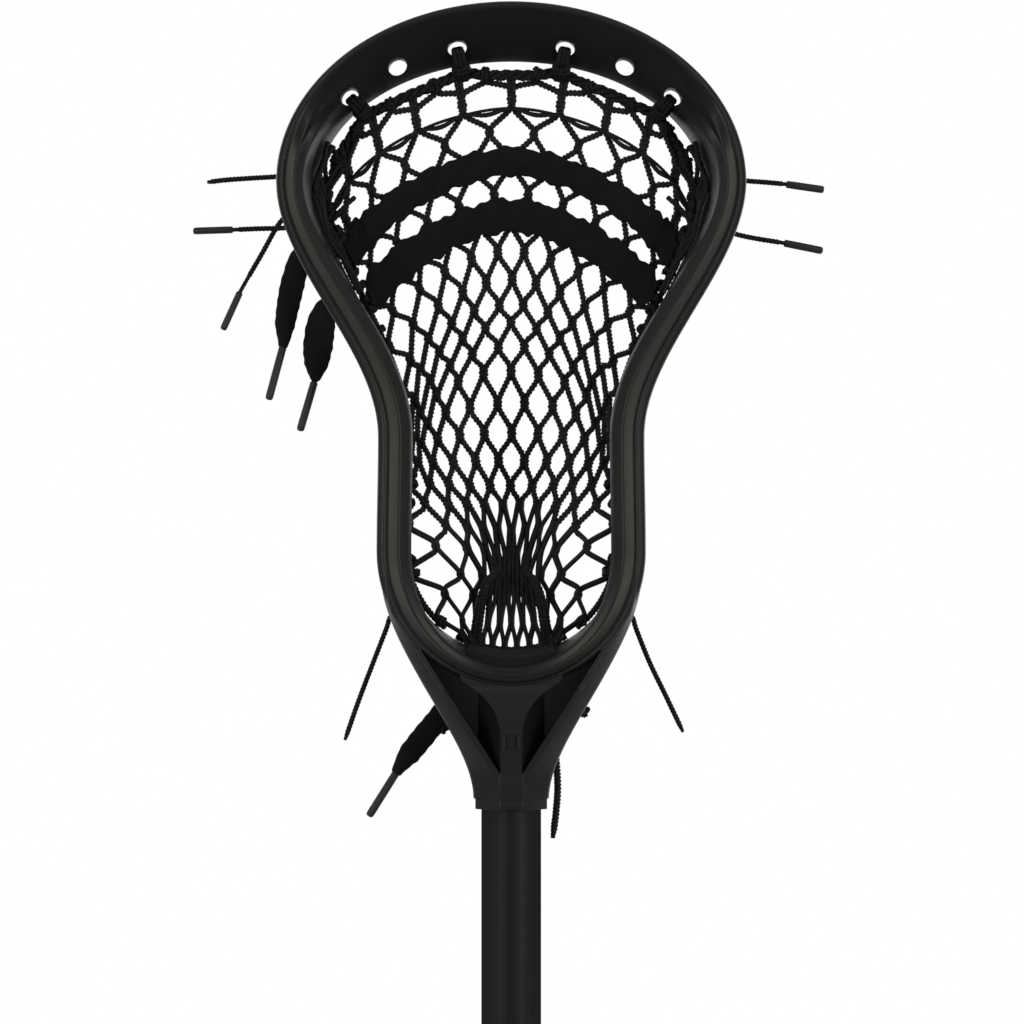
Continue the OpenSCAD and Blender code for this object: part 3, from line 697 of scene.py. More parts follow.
yWay = Vector((0, 1, 0))
tailSet = {
    "radius": 1.0, "thickRadius": 1.35, "step": 0.45,
    # flat laces: width, step, and half size of the end inside its aglet
    "laceWidth": 9.6, "laceStep": 1.0, "endHalf": 0.9,
}
for name, points in tails.items():
    isLace = name.startswith("lace_")
    route = lifted(points)
    if name in tips:
        end, agletRadius = tips[name]
        tip = lifted([end])[0]
        tail = route[-1]
        agletName = name.replace("lace_tail", "laceEnd").replace("tail", "cordEnd") + "_aglet"
        group = "lace_aglets" if isLace else "string_aglets"
        start = tail + (tip - tail).normalized() * 0.1
        aglet = agletMesh(agletName, start, tip, agletRadius)
        finishPiece(agletName, aglet, "aglet_plastic", [group])
        route = route + [tail + (tip - tail) * 0.5, tail + (tip - tail) * 0.97]
    line = smoothLine(route, tailSet["laceStep"] if isLace else tailSet["step"])
    length = lineLength(line) * mm
    if isLace:
        wides, thicks = laceWidths[name]
        bare = lineLength(smoothLine(lifted(points), tailSet["laceStep"])) * mm / length

        def halfWide(w, wides=wides, bare=bare):
            return at(wides, w / bare * (len(wides) - 1)) if w < bare else tailSet["endHalf"]

        def halfThick(w, thicks=thicks, bare=bare):
            return at(thicks, w / bare * (len(thicks) - 1)) if w < bare else tailSet["endHalf"]

        mesh = flatLace(name + "_cloth", line, halfWide, halfThick, yWay, 0.35)
        piece = finishPiece(name + "_cloth", mesh, "lace_cloth", [name])
    else:
        radius = tailSet["thickRadius"] if name == "tail_shaft" else tailSet["radius"]

        def ends(number, share, name=name):
            if name in tips:
                return 1.0 if share < 0.6 else 0.8
            return 1.0 - 0.35 * ease((share - 0.93) / 0.07)

        mesh = sweptCord([line], radius, "tail", ends)
        piece = finishPiece(name + "_cord", mesh, "string_cord", [name])
    tuple(route[0] * mm)
    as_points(inMetres(line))
print("loose cords made")


# pocket: twenty spun strands that pair up at every knot
ropeThick = 4.4
laceThick = 1.8
ropeGaps = 0.8
pocketSet = {
    # depth of the bag, gap to the wall, depths and heights of the crown and the foot
    "bag": 31, "gap": 3.4, "crownY": 27, "footY": 32,
    "crownH": head["length"] - wall(0) - ropeThick - ropeGaps + 0.3,
    "footH": head["baseHeight"] - head["base"] / 2 + wall(4) + laceThick + ropeGaps,
    # one value a row: middle height, place on the wall, spread of the columns, bend of the row
    "share": (0.99, 0.96, 0.907, 0.853, 0.801, 0.75, 0.7, 0.651, 0.607, 0.572, 0.534, 0.488,
              0.431, 0.378, 0.328, 0.283, 0.248, 0.203, 0.162, 0.123, 0.085, 0.045, 0),
    "edge": (0.95, 1.13, 1.27, 1.37, 1.46, 1.54, 1.62, 1.7, 1.79, 1.85, 1.91, 1.99,
             2.06, 2.14, 2.24, 2.4, 2.58, 2.76, 2.95, 3.14, 3.28, 3.5, 3.64),
    "spread": (1.45, 1.36, 1.32, 1.24, 1.16, 1.1, 1.03, 1.03, 1.13, 1.22, 1.31, 1.42,
               1.45, 1.4, 1.26, 1.08, 0.89, 0.69, 0.52, 0.42, 0.5, 0.82, 1.2),
    "bend": (1.8, 1.74, 1.55, 1.6, 1.6, 1.7, 1.82, 1.78, 1.85, 1.65, 1.57, 1.85,
             1.93, 2.4, 1.8, 1.3, 1.6, 1.3, 1.6, 1.7, 2.2, 1.9, 1.8),
    # strands: half length of a knot, also in the top row, and distance from its middle, in strand radii
    "strandRadius": 1.1, "step": 0.45, "reach": 2.8, "topReach": 4.6, "knotApart": 0.7, "endApart": 0.86,
}


def rowHeight(k):
    return mix(pocketSet["footH"], pocketSet["crownH"], at(pocketSet["share"], k))


def rowDepth(k):
    v = at(pocketSet["share"], k)
    return mix(pocketSet["footY"], pocketSet["crownY"], v) + pocketSet["bag"] * math.sin(math.pi * v)


def edgePoint(k):
    q = at(pocketSet["edge"], k)
    return place(q, wall(q) + pocketSet["gap"] + 2.4 * ease(1 - k), back(q) - 4)


def spread(t, a):
    return a * t + (1 - a) * t ** (3 if a > 1 else 5)


# point of the pocket at row k and share t of the half width, lifted forward by up
def pocket(k, t, up=0.0):
    edge = edgePoint(k)
    s = abs(t)
    return Vector((
        math.copysign(edge.x * spread(s, at(pocketSet["spread"], k)), t),
        mix(rowDepth(k), edge.y, s ** 2.2) - up,
        mix(head["low"] + rowHeight(k), edge.z, s ** at(pocketSet["bend"], k)),
    ))


# small offsets that both strands of a knot share
jogSizes = (0.35, 0.2, 0.35)
rows = len(pocketSet["share"])
jogs = {}
for k in range(rows):
    for column in range(-10, 11):
        jogs[k, column] = Vector([rng.uniform(-size, size) for size in jogSizes])


# one strand from scoop to foot; it lies beside its neighbour at each knot, for a length called reach
def strandLine(s):
    radius = pocketSet["strandRadius"]
    points = []
    for k in range(rows):
        even = k % 2 == 0
        column = 2 * (s // 2) - 9 if even else 2 * ((s + 1) // 2) - 10
        side = 0 if abs(column) == 10 else (1 if (s % 2 == 0) != even else -1)
        t = column / 10
        centre = pocket(k, t)
        above = pocket(k - 1, t) if k else centre * 2 - pocket(1, t)
        below = pocket(k + 1, t) if k < rows - 1 else centre * 2 - pocket(k - 1, t)
        run = (above - below).normalized()
        acrossWay = (Vector((1, 0, 0)) - run * run.x).normalized()
        tall = (above - below).length / 2
        wide = (pocket(k, min(1, t + 0.2)) - pocket(k, max(-1, t - 0.2))).length / 2
        reach = min(pocketSet["reach"], 0.25 * tall) * clamp(1.5 - 0.5 * wide / tall)
        if k == 1:
            reach = pocketSet["topReach"]
        centre = centre + jogs[k, column]
        for lift in (1, 0, -1):
            share = pocketSet["endApart"] if lift else pocketSet["knotApart"]
            apart = radius * share * side * (1 - 0.45 * ease(k - 20))
            points.append(centre + run * reach * lift + acrossWay * apart + yWay * 0.3 * side * lift)
        if k == rows - 1:
            points.append(centre - run * (reach + 4) + acrossWay * radius * side)
    points[0] = points[0] + Vector((0, 0, 2.2))
    return smoothLine(points, pocketSet["step"])


# a strand is a little thicker at the scoop and thinner in the foot
def strandSize(number, share):
    return mix(1.05, 0.98, ease(share * 4)) - 0.1 * ease((share - 0.85) / 0.1)


strands = [strandLine(s) for s in range(20)]
for number in range(4):
    part = strands[number * 5 : number * 5 + 5]
    netMesh = sweptCord(part, pocketSet["strandRadius"], "net", strandSize, phase=0.9)
    finishPiece("net_strands_%d" % (number + 1), netMesh, "mesh_cord", ["mesh_pocket"])
print("pocket strung", sum(lineLength(s) for s in strands) / 1000, "m of cord")

# shooting laces: woven bands that lie on the strands and are drawn in where strands cross
laceSet = {
    # row and half width of each
    "shooting_lace_upper": (3.0, 6.5),
    "shooting_lace_lower": (4.8, 7.6),
    # lift off the pocket's surface, half thickness, share of the width, narrowing, length of the map
    "lift": 3.15, "thick": 0.85, "reach": 0.985, "pinch": 0.15, "mapLength": 190,
}


def shootingLace(name):
    row, halfWide = laceSet[name]

    def spot(u, w):
        t = (w * 2 - 1) * laceSet["reach"]
        angle = 2 * math.pi * u
        x, y = math.cos(angle), math.sin(angle)
        crossing = math.cos(math.pi * 10 * (abs(t) + 0.1 * (row % 2 != 1))) * 0.5 + 0.5
        uneven = 0.06 * math.sin(53 * t + 2 * x) + 0.04 * math.sin(91 * t + 5 * x + row)
        end = 1 - 0.35 * ease((abs(t) - 0.92) / 0.07)
        downWay = pocket(row + 0.5, t) - pocket(row - 0.5, t)
        runWay = (pocket(row, t + 0.02) - pocket(row, t - 0.02)).normalized()
        half = halfWide / downWay.cross(runWay).length
        across = half * (1 - laceSet["pinch"] * (1 - crossing) + uneven) * end
        lift = laceSet["lift"] + laceSet["thick"] * y * (1 - 0.25 * x * x) + 0.5 * crossing
        lift += 0.3 * math.sin(37 * t + 3 * x) + 0.2 * math.sin(61 * t + 1)
        return pocket(row + across * x, t, lift)

    def weave(u, w):
        return (math.cos(2 * math.pi * u) * halfWide, w * laceSet["mapLength"])

    form = bentGrid(24, 300, spot, joinU=True, capEnds=True, keepMap=weave)
    finishPiece(name + "_cloth", meshFrom(form, name), "lace_cloth", [name])


for name in ("shooting_lace_upper", "shooting_lace_lower"):
    shootingLace(name)
print("shooting laces laid")

# strings round the head
stringSet = {
    # radii of the cords
    "top": 1.1, "side": 1.2, "nylon": 0.62, "hitch": 0.85, "link": 0.95, "foot": 1.4, "loop": 0.98,
    # the top string's turn and its cords' distance from its middle
    "twist": 13, "apart": 1.15,
    # places of its ties along the outline, and of their holes down the scoop
    "ties": (0.168, 0.572), "holeAt": 0.65,
    # row and size of each hitch on the side strings
    "hitches": (
        (0.3, 2.4), (0.7, 2.8), (1, 2.6), (1.4, 2.9), (1.9, 2.4), (2.2, 2.8), (2.7, 2.5), (3.1, 2.8),
        (3.6, 2.2), (4.2, 2.4), (4.8, 2.2), (5.3, 2.0), (6.2, 1.7), (7, 1.6), (9, 1.4), (11, 1.4),
        (13, 1.4), (14.5, 2.2), (15.1, 2.6), (16, 1.8), (17, 1.6), (18.6, 2.2), (19, 2.6), (21, 1.8),
    ),
    # depth and drift of each cord that lies on the inner face of the wall
    "wallCords": ((0.25, 0.0), (0.5, 1.3), (0.72, 2.6), (0.95, 4.0)),
}


coilSteps = 14


# a few turns of cord round an axis
def coil(centre, axis, radius, turns, pitch):
    axis = axis.normalized()
    first = axis.orthogonal().normalized()
    second = axis.cross(first)
    count = round(turns * coilSteps)
    line = []
    for i in range(count + 1):
        angle = 2 * math.pi * i / coilSteps
        out = first * math.cos(angle) + second * math.sin(angle)
        line.append(centre + axis * pitch * (i / coilSteps - turns / 2) + out * radius)
    return line


# the top string hangs a little away from the scoop between its ties
def topOut(p):
    near = min(abs(abs(p) - q) for q in stringSet["ties"])
    return 3.2 + 2.0 * ease(near / 0.12)


def topSpot(p):
    return wallRun(p, topOut(p), -1 - 2.5 * ease(abs(p) * 1.67 - 0.5))


topPath = smoothLine([topSpot(i / 40 * 0.93) for i in range(-40, 41)], 0.5)
topLines = []
for phase in (0, 2.1, 4.2):
    line = []
    run = 0.0
    for i, spot in enumerate(topPath):
        ahead = (topPath[min(i + 1, len(topPath) - 1)] - topPath[max(i - 1, 0)]).normalized()
        run += (spot - topPath[i - 1]).length if i else 0
        angle = 2 * math.pi * run / stringSet["twist"] + phase
        up = ahead.cross(yWay).normalized()
        line.append(spot + (up * math.cos(angle) + yWay * math.sin(angle)) * stringSet["apart"])
    topLines.append(line)
topMesh = sweptCord(topLines, stringSet["top"], "rope")
finishPiece("top_string_cord", topMesh, "string_cord", ["top_string"])

# links: doubled cords up to the top string, and single ones out to the wall
linkSet = {
    "apart": 0.85, "rise": 3,
    # row, share of the half width where it starts, and shift of its end along the outline
    "wall": (
        (0.3, 0.84, 0.05), (0.8, 0.78, -0.02), (1.25, 0.82, 0.03), (1.8, 0.8, -0.03), (2.35, 0.84, 0.02),
    ),
}
links = []
for column in range(-8, 9, 2):
    knot = pocket(1, column / 10)
    near = min(topPath, key=lambda spot: (spot - pocket(0, column / 10)).length)
    way = (near - knot).normalized()
    acrossWay = way.cross(yWay).normalized()
    for apart in (-linkSet["apart"], linkSet["apart"]):
        links.append(smoothLine([
            knot + way * linkSet["rise"] + acrossWay * apart,
            knot.lerp(near, 0.6) + acrossWay * apart * 0.9 - yWay * 0.3,
            near + acrossWay * apart * 1.3,
        ], 0.5))
for sign in (-1, 1):
    for k, inner, turn in linkSet["wall"]:
        q = at(pocketSet["edge"], k) + turn
        knot = pocket(k, sign * inner)
        wallSpot = wallRun(sign * q, 1.5, -5)
        middle = knot.lerp(wallSpot, 0.5) + Vector((0, -0.8, rng.uniform(-1.5, 1.5)))
        links.append(smoothLine([knot, middle, wallSpot], 0.5))
finishPiece("net_links", sweptCord(links, stringSet["link"], "tie"), "mesh_cord", ["mesh_pocket"])

# hitches: the top string holds each end of the net, the side strings each edge knot
topHitches = []
for column in range(-9, 10, 2):
    knot = pocket(0, column / 10)
    near = min(topPath, key=lambda spot: (spot - knot).length)
    i = topPath.index(near)
    ahead = topPath[min(i + 2, len(topPath) - 1)] - topPath[max(i - 2, 0)]
    tilt = Vector([rng.uniform(-0.8, 0.8) for _ in range(3)])
    size = rng.uniform(2.0, 2.5)
    turns = rng.uniform(1.6, 2.4)
    topHitches.append(coil(near, ahead.normalized() + tilt, size, turns, 1.5))
hitchMesh = sweptCord(topHitches, stringSet["hitch"], "tie")
finishPiece("top_string_hitches", hitchMesh, "string_cord", ["top_string"])
for side, sign in (("left", -1), ("right", 1)):
    sideLine = smoothLine([wallRun(sign * (0.95 + 2.6 * i / 60), 1.7, -4) for i in range(61)], 0.5)
    sideMesh = sweptCord([sideLine], stringSet["side"], "side")
    finishPiece("side_string_%s_cord" % side, sideMesh, "string_cord", ["side_string_" + side])
    hitches = []
    for k, size in stringSet["hitches"]:
        q = at(pocketSet["edge"], k)
        ahead = wallRun(sign * (q + 0.02), 0, 0) - wallRun(sign * (q - 0.02), 0, 0)
        spot = wallRun(sign * q, size * 0.8 + 0.9, -4 - rng.uniform(0, 1))
        tilt = Vector([rng.uniform(-0.9, 0.9) for _ in range(3)])
        hitches.append(coil(spot, ahead.normalized() + tilt, size * 0.8, rng.uniform(1.6, 2.4), 1.1))
    # cords that lie on the inner face of the wall beside the scoop
    for deep, drift in stringSet["wallCords"]:
        line = []
        for i in range(31):
            q = 0.78 + 0.72 * i / 30
            share = clamp(deep + 0.1 * math.sin(9 * q + drift))
            n = rail(q) + lean(q) * (0.3 + 0.7 * share) + 1.2 + 0.8 * (1 + math.sin(23 * q + drift))
            line.append(place(sign * q, n, mix(front(q) + 10, back(q) - 3, share)))
        hitches.append(smoothLine(line, 0.6))
    hitchMesh = sweptCord(hitches, stringSet["hitch"] * 1.15, "tie")
    finishPiece("side_string_%s_hitches" % side, hitchMesh, "string_cord", ["side_string_" + side])

# fine nylon cords that part between the knots and close again on each
nylonSet = {"row": 1.33, "apart": (-0.075, 0.075, 0.02), "lift": 2.6, "reach": 0.96, "steps": 48}
nylonLines = []
for apart in nylonSet["apart"]:
    line = []
    for i in range(-nylonSet["steps"], nylonSet["steps"] + 1):
        t = i / nylonSet["steps"] * nylonSet["reach"]
        parted = math.sin(5 * math.pi * t) ** 2
        row = nylonSet["row"] + 0.07 * parted + apart * parted + 0.012 * math.copysign(1, apart)
        line.append(pocket(row, t, nylonSet["lift"] + 6 * apart))
    nylonLines.append(smoothLine(line, 0.5))
nylonMesh = sweptCord(nylonLines, stringSet["nylon"], "nylon")
finishPiece("shooting_cord_nylon", nylonMesh, "nylon_cord", ["shooting_cord"])

# bottom lace: along the foot, and up both sides of the gathered strands
footRun = [wallRun(math.copysign(4 - abs(i) / 30 * 0.36, i), 1.3, 1.2) for i in range(-30, 31)]
footLine = smoothLine(footRun, 0.6)
legs = []
legSet = ((5.0, 33.6, 91.5), (8.6, 33.2, 87.5), (11.0, 32.8, 80.5), (12.6, 32.2, 71), (13.6, 32, 61))
for sign in (-1, 1):
    for drift in (0, 2.1):
        route = [(sign * (x + drift * (0.4 + i / 8)), y, h) for i, (x, y, h) in enumerate(legSet)]
        legs.append(smoothLine(lifted(route), 0.6))
footMesh = sweptCord([footLine, *legs], stringSet["foot"], "foot")
finishPiece("bottom_lace_cord", footMesh, "string_cord", ["bottom_lace"])

# knotted ends of the side strings, beside the throat
knotSet = {
    "left": ((-20, 35.6, 47), (-24.5, 35, 37), (-26.4, 34, 29.8)),
    "right": ((20, 35.6, 47), (26, 35, 41), (28.6, 34, 36.2)),
}
for side, points in knotSet.items():
    route = lifted(points)
    end = route[-1]
    away = (end - route[-2]).normalized()
    turns = coil(end, away + Vector((0.5, 0, 0.4)), 1.5, 2.2, 1.3)
    knot = [smoothLine([*route, end + away * 2.6], 0.5), turns]
    knotMesh = sweptCord(knot, stringSet["link"], "knot")
    finishPiece("side_string_%s_knot" % side, knotMesh, "string_cord", ["side_string_" + side])
print("strings laid")

# head: lofted ring of wall sections, moulded throat and collar
railRadii = (1.6, 0.8, 0.5, 0.3, 0.5, 0.6, 0.4, 0.5, 0.7, 3, 1.0, 0.7, 0.9, 1, 1.2, 1.6, 2, 2)
scoopRadii = (0.8, 0.6, 0.5, 0.4, 0.6, 1, 1, 1, 1, 0.8, 0.8, 0.6, 0.8, 1, 1, 1, 1, 1)


def railSection(q):
    w, l, f, b = rail(q), lean(q), front(q), back(q)
    t = w + l
    return (
        (0, f + 5.2), (0.05 * w, f + 2.6), (0.22 * w, f + 1.3), (0.28 * w, f + 1.9), (0.34 * w, f + 0.9),
        (0.64 * w, f - 0.4), (0.68 * w, f), (0.93 * w, f - 0.5), (w, f + 2.2),
        (w + 0.3 * l, f + 9), (t, b - 2), (t - 1.2, b), (t - head["backRailW"] + 1, b),
        (t - head["backRailW"], b - 2), (t - head["backRailW"], b - head["backRailD"]),
        (t - 0.2 * l - head["web"], b - head["backRailD"] - 3),
        (w + 0.3 * l - head["web"], f + 11), (2.5, f + 8.5),
    )


# way down the scoop's plate, from its front edge to its back edge
def scoopRun(q):
    return (wall(q) - 3.4, back(q) - front(q) - 1.8)


def scoopPoint(q, t, off=0.0):
    run = scoopRun(q)
    length = math.hypot(*run)
    return (3.1 + t * run[0] - off * run[1] / length, front(q) + 0.6 + t * run[1] + off * run[0] / length)


def scoopSection(q):
    w, f, b, off = wall(q), front(q), back(q), head["scoopThick"]
    low = scoopPoint(q, 0.1, off)
    return (
        (0, f + 4), (0.2, f + 1.4), (1.3, f), (2.2, f - 0.1), scoopPoint(q, 0), scoopPoint(q, 0.2),
        scoopPoint(q, 0.4), scoopPoint(q, 0.6), scoopPoint(q, 0.8), scoopPoint(q, 0.94), (w, b - 0.4),
        (w - 0.6, b + 0.8), scoopPoint(q, 1, off), scoopPoint(q, 0.94, off), scoopPoint(q, 0.78, off),
        scoopPoint(q, 0.55, off), scoopPoint(q, 0.3, off), (low[0], low[1] + 0.1),
    )


def scoopShare(q):
    return 1 - ease((q - 0.44) / 0.5)


sectionCuts = 3


def section(q):
    m = scoopShare(q)
    corners = []
    for a, b, ra, rb in zip(railSection(q), scoopSection(q), railRadii, scoopRadii):
        corners.append((mix(a[0], b[0], m), mix(a[1], b[1], m), mix(ra, rb, m)))
    return rounded(corners, sectionCuts)


ringStations = 240
ringSides = len(railRadii) * (sectionCuts + 1)
# places along the outline at each tenth of the stations, closer together where it bends
ringPlaces = (0, 0.36, 0.7, 1, 1.4, 1.75, 2.1, 2.8, 3.1, 3.55, 4)
stationOf = []
sections = []
for i in range(ringStations + 1):
    u = abs(2 * i / ringStations - 1)  # 1 at the foot, 0 at the scoop's top
    q = at(ringPlaces, u * 10)
    p = q if i * 2 > ringStations else -q
    stationOf.append(p)
    sections.append(section(q))


def ringSpot(u, w):
    i = round(u * ringStations)
    j = round(w * ringSides) % ringSides
    n, y = sections[i][j]
    p = stationOf[i]
    return place(p if p else 1e-9, n, y)


ringForm = bentGrid(ringStations, ringSides, ringSpot, joinU=True, joinV=True)
ringMesh = meshFrom(ringForm, "head_ring")


def cutterObject(form, name):
    mesh = bpy.data.meshes.new(name)
    form.to_mesh(mesh)
    form.free()
    cutter = bpy.data.objects.new(name, mesh)
    scene.collection.objects.link(cutter)
    return cutter


# cuts each of the forms out of a mesh, and returns the new mesh
def carved(mesh, forms, name, angle=35):
    holder = bpy.data.objects.new(name, mesh)
    scene.collection.objects.link(holder)
    cutters = [cutterObject(form, "cutter%d" % i) for i, form in enumerate(forms)]
    for cutter in cutters:
        step = holder.modifiers.new(cutter.name, "BOOLEAN")
        step.operation = "DIFFERENCE"
        step.solver = "EXACT"
        step.object = cutter
    bpy.context.view_layer.update()
    graph = bpy.context.evaluated_depsgraph_get()
    made = bpy.data.meshes.new_from_object(holder.evaluated_get(graph))
    for item in [holder, *cutters]:
        bpy.data.objects.remove(item)
    made.name = name
    made.shade_smooth()
    made.set_sharp_from_angle(angle=math.radians(angle))
    return made


# places along the outline and sizes of what is cut through the ring
cutSet = {
    "windows": ((1.1, 1.3), (1.42, 1.64), (1.78, 2.2), (2.45, 2.9)), "windowCorner": 3.5,
    "scoopHoles": (0.168, 0.37, 0.572), "scoopHole": 3.8, "squash": 0.72,
    "stringHoles": (1.02, 1.18, 1.34, 1.5, 1.66, 1.88, 2.2, 2.6, 3, 3.3), "stringHole": 1.8,
}


# round bar along a direction, used to cut a hole; squash makes it oval along upWay
def holeForm(spot, way, radius, length, upWay=None, squash=1.0, steps=24):
    form = bmesh.new()
    bmesh.ops.create_cone(
        form, cap_ends=True, segments=steps, radius1=radius * mm, radius2=radius * mm, depth=length * mm
    )
    bmesh.ops.scale(form, verts=form.verts, vec=(1, squash, 1))
    axis = Vector(way).normalized()
    upWay = upWay or axis.orthogonal()
    turn = Matrix((upWay.cross(axis), upWay, axis)).transposed().to_4x4()
    turn = Matrix.Translation(Vector(spot) * mm) @ turn
    bmesh.ops.transform(form, matrix=turn, verts=form.verts)
    bmesh.ops.recalc_face_normals(form, faces=form.faces)
    return form


def windowForm(sign, q1, q2):
    form = bmesh.new()
    corner = cutSet["windowCorner"]
    for q in (q1, (q1 + q2) / 2, q2):
        way = inward(sign * q)
        turn = Vector((way[0], 0, way[1])).to_track_quat("Z", "Y").to_matrix().to_4x4()
        for y in (front(q) + 12 + corner, back(q) - head["backRailD"] - 4 - corner):
            spot = place(sign * q, rail(q) - 1, y)
            bmesh.ops.create_cone(
                form, cap_ends=False, segments=20, radius1=corner * mm, radius2=corner * mm, depth=16 * mm,
                matrix=Matrix.Translation(spot * mm) @ turn,
            )
    bmesh.ops.delete(form, geom=form.edges[:], context="EDGES_FACES")
    bmesh.ops.convex_hull(form, input=form.verts)
    bmesh.ops.delete(form, geom=[v for v in form.verts if not v.link_faces], context="VERTS")
    bmesh.ops.recalc_face_normals(form, faces=form.faces)
    return form


headCuts = []
for sign in (-1, 1):
    for q1, q2 in cutSet["windows"]:
        headCuts.append(windowForm(sign, q1, q2))
    for q in cutSet["scoopHoles"]:
        n, y = scoopPoint(q, stringSet["holeAt"])
        way = inward(sign * q)
        upWay = Vector((way[0], 0, way[1]))
        spot = place(sign * q, n, y + 1)
        headCuts.append(holeForm(spot, yWay, cutSet["scoopHole"], 30, upWay, cutSet["squash"], 36))
    for q in cutSet["stringHoles"]:
        way = inward(sign * q)
        spot = place(sign * q, wall(q) - head["backRailW"] / 2, back(q) - 4)
        deep = head["backRailW"] + 6
        headCuts.append(holeForm(spot, (way[0], 0, way[1]), cutSet["stringHole"], deep, steps=14))
ringMesh = carved(ringMesh, headCuts, "head_ring")
finishPiece("head_ring", ringMesh, "head_plastic", ["head_frame"], smooth=False)
print("head ring carved", len(ringMesh.polygons), "faces")

# throat
throat = {
    "shaftW": 23.2, "shaftD": 28.6, "nose": 6.8, "side": 12, "play": 0.15,
    "collarWall": 2.6, "collarH": 14, "lip": 4, "socketWall": 2, "socket": 44,
    "spine": 8.4, "filletW": 16.3, "filletH": 22.5, "proud": 1.2, "ridge": 2.3,
    # small sink in the spine: width, lower and upper edge, depth, radius of its rims
    "sink": 5.6, "sinkLow": 24, "sinkHigh": 29.4, "sinkDeep": 1.3, "sinkRim": 0.42,
    # head screw: height, radius of its hole and of the seat of its head
    "screwH": 22, "screwHole": 2.1, "screwSeat": 4.3,
}
collarR = throat["shaftD"] / 2 + throat["play"] + throat["collarWall"]
recessX = head["base"] / 2 - 17.9
recessH = head["baseHeight"] - 38.3
throatX = throat["shaftW"] / 2 + throat["play"] + throat["collarWall"]


def rimFront(h):
    return front(3 + math.degrees(math.asin(clamp((head["baseHeight"] - h) / (head["base"] / 2)))) / 90)


def throatFront(h):
    t = clamp((h - throat["collarH"]) / 33)
    return mix(0.25 - collarR, rimFront(h) + 1.3, ease(t)) - throat["proud"] * math.sin(math.pi * t)


def throatBack(h):
    return mix(collarR - 0.25, head["backY"][4] - 1, ease((h - throat["collarH"]) / 45))


sideEnd = Vector((head["base"] / 2 - 1.8, head["baseHeight"] - 9))


def throatSide(t):
    u = 1 - t
    a = Vector((throatX + 0.35, 4))
    b = sideEnd
    up = Vector((0, 1))
    return a * u ** 3 + (a + up * 24) * 3 * u * u * t + (b - up * 28) * 3 * u * t * t + b * t ** 3


def recessEdge(h):
    low = throat["collarH"]
    return mix(throat["spine"] / 2, recessX, (h - low) / (recessH - low))


throatRings = 56
throatCuts = 3
# so many of the rings, the last ones, run from the end of the throat's side into the mouth
topRings = 4


def throatRing(i):
    if i <= throatRings - topRings:
        x, h = throatSide(mix(0.004, 1, i / (throatRings - topRings)))
    else:
        inMouth = Vector((head["base"] / 2 - 12, head["baseHeight"]))
        x, h = sideEnd.lerp(inMouth, (i - throatRings + topRings) / topRings)
    f, b = throatFront(h), throatBack(h)
    opened = ease((h - throat["collarH"]) / 24)
    c = mix(throat["shaftD"] / 2 - throat["side"] / 2 + 1, 7, opened)
    ridge = min(x - 1.6, max(throat["nose"] / 2 + 1, recessEdge(h) + throat["ridge"]))
    backC = mix(c, 1.6, opened)
    wide = mix(ridge, x - 1.6, opened)
    corners = (
        (ridge, f, 0.7), (x, f + c, 1.6), (x, b - backC, 1), (wide, b, 1),
        (-wide, b, 1), (-x, b - backC, 1), (-x, f + c, 1.6), (-ridge, f, 0.7),
    )
    return [Vector((p[0], p[1], head["low"] + h)) for p in rounded(corners, throatCuts)]


throatSections = [throatRing(i) for i in range(throatRings + 1)]
throatSides = 8 * (throatCuts + 1)


def throatSpot(u, w):
    return throatSections[round(w * throatRings)][round(u * throatSides) % throatSides]


throatForm = bentGrid(throatSides, throatRings, throatSpot, joinU=True, capEnds=True)

# inside of the round base, so that the throat stays out of the mouth
mouthLevels = ((60, 1), (31, 1), (-18.5, 0), (-60, 0))
mouthArc = 48


def mouthSpot(u, w):
    y, deep = mouthLevels[round(w * 3)]
    i = round(u * (mouthArc + 2)) % (mouthArc + 2)
    if i < 2:
        x = head["base"] / 2 * (1 - 2 * i)
        return Vector((x, y, head["low"] + head["baseHeight"] + 40))
    share = (i - 2) / (mouthArc - 1) * 2 - 1
    q = 4 - abs(share)
    return place(-q if share < 0 else q, mix(6.6, wall(q) - 1.7, deep), y)


mouthForm = bentGrid(mouthArc + 2, 3, mouthSpot, joinU=True, capEnds=True)


# flat outline, its points in millimetres, pulled into a solid
def pulledForm(spots, pull):
    form = bmesh.new()
    face = form.faces.new([form.verts.new(tuple(v * mm for v in spot)) for spot in spots])
    made = bmesh.ops.extrude_face_region(form, geom=[face])
    far = [v for v in made["geom"] if isinstance(v, bmesh.types.BMVert)]
    bmesh.ops.translate(form, verts=far, vec=tuple(v * mm for v in pull))
    bmesh.ops.recalc_face_normals(form, faces=form.faces)
    return form


# straight bar with an outline in the front view, from depth y1 to y2, with its long corners softened
def barForm(points, y1, y2, soften):
    form = pulledForm([(x, y1, head["low"] + h) for x, h in points], (0, y2 - y1, 0))
    corners = []
    for e in form.edges:
        isLong = abs(e.verts[0].co.y - e.verts[1].co.y) > mm
        if isLong and e.calc_face_angle(0) > math.radians(35):
            corners.append(e)
    bmesh.ops.bevel(
        form, geom=corners, offset=soften * mm, affect="EDGES", segments=4, profile=0.5, material=-1,
        clamp_overlap=True,
    )
    return form


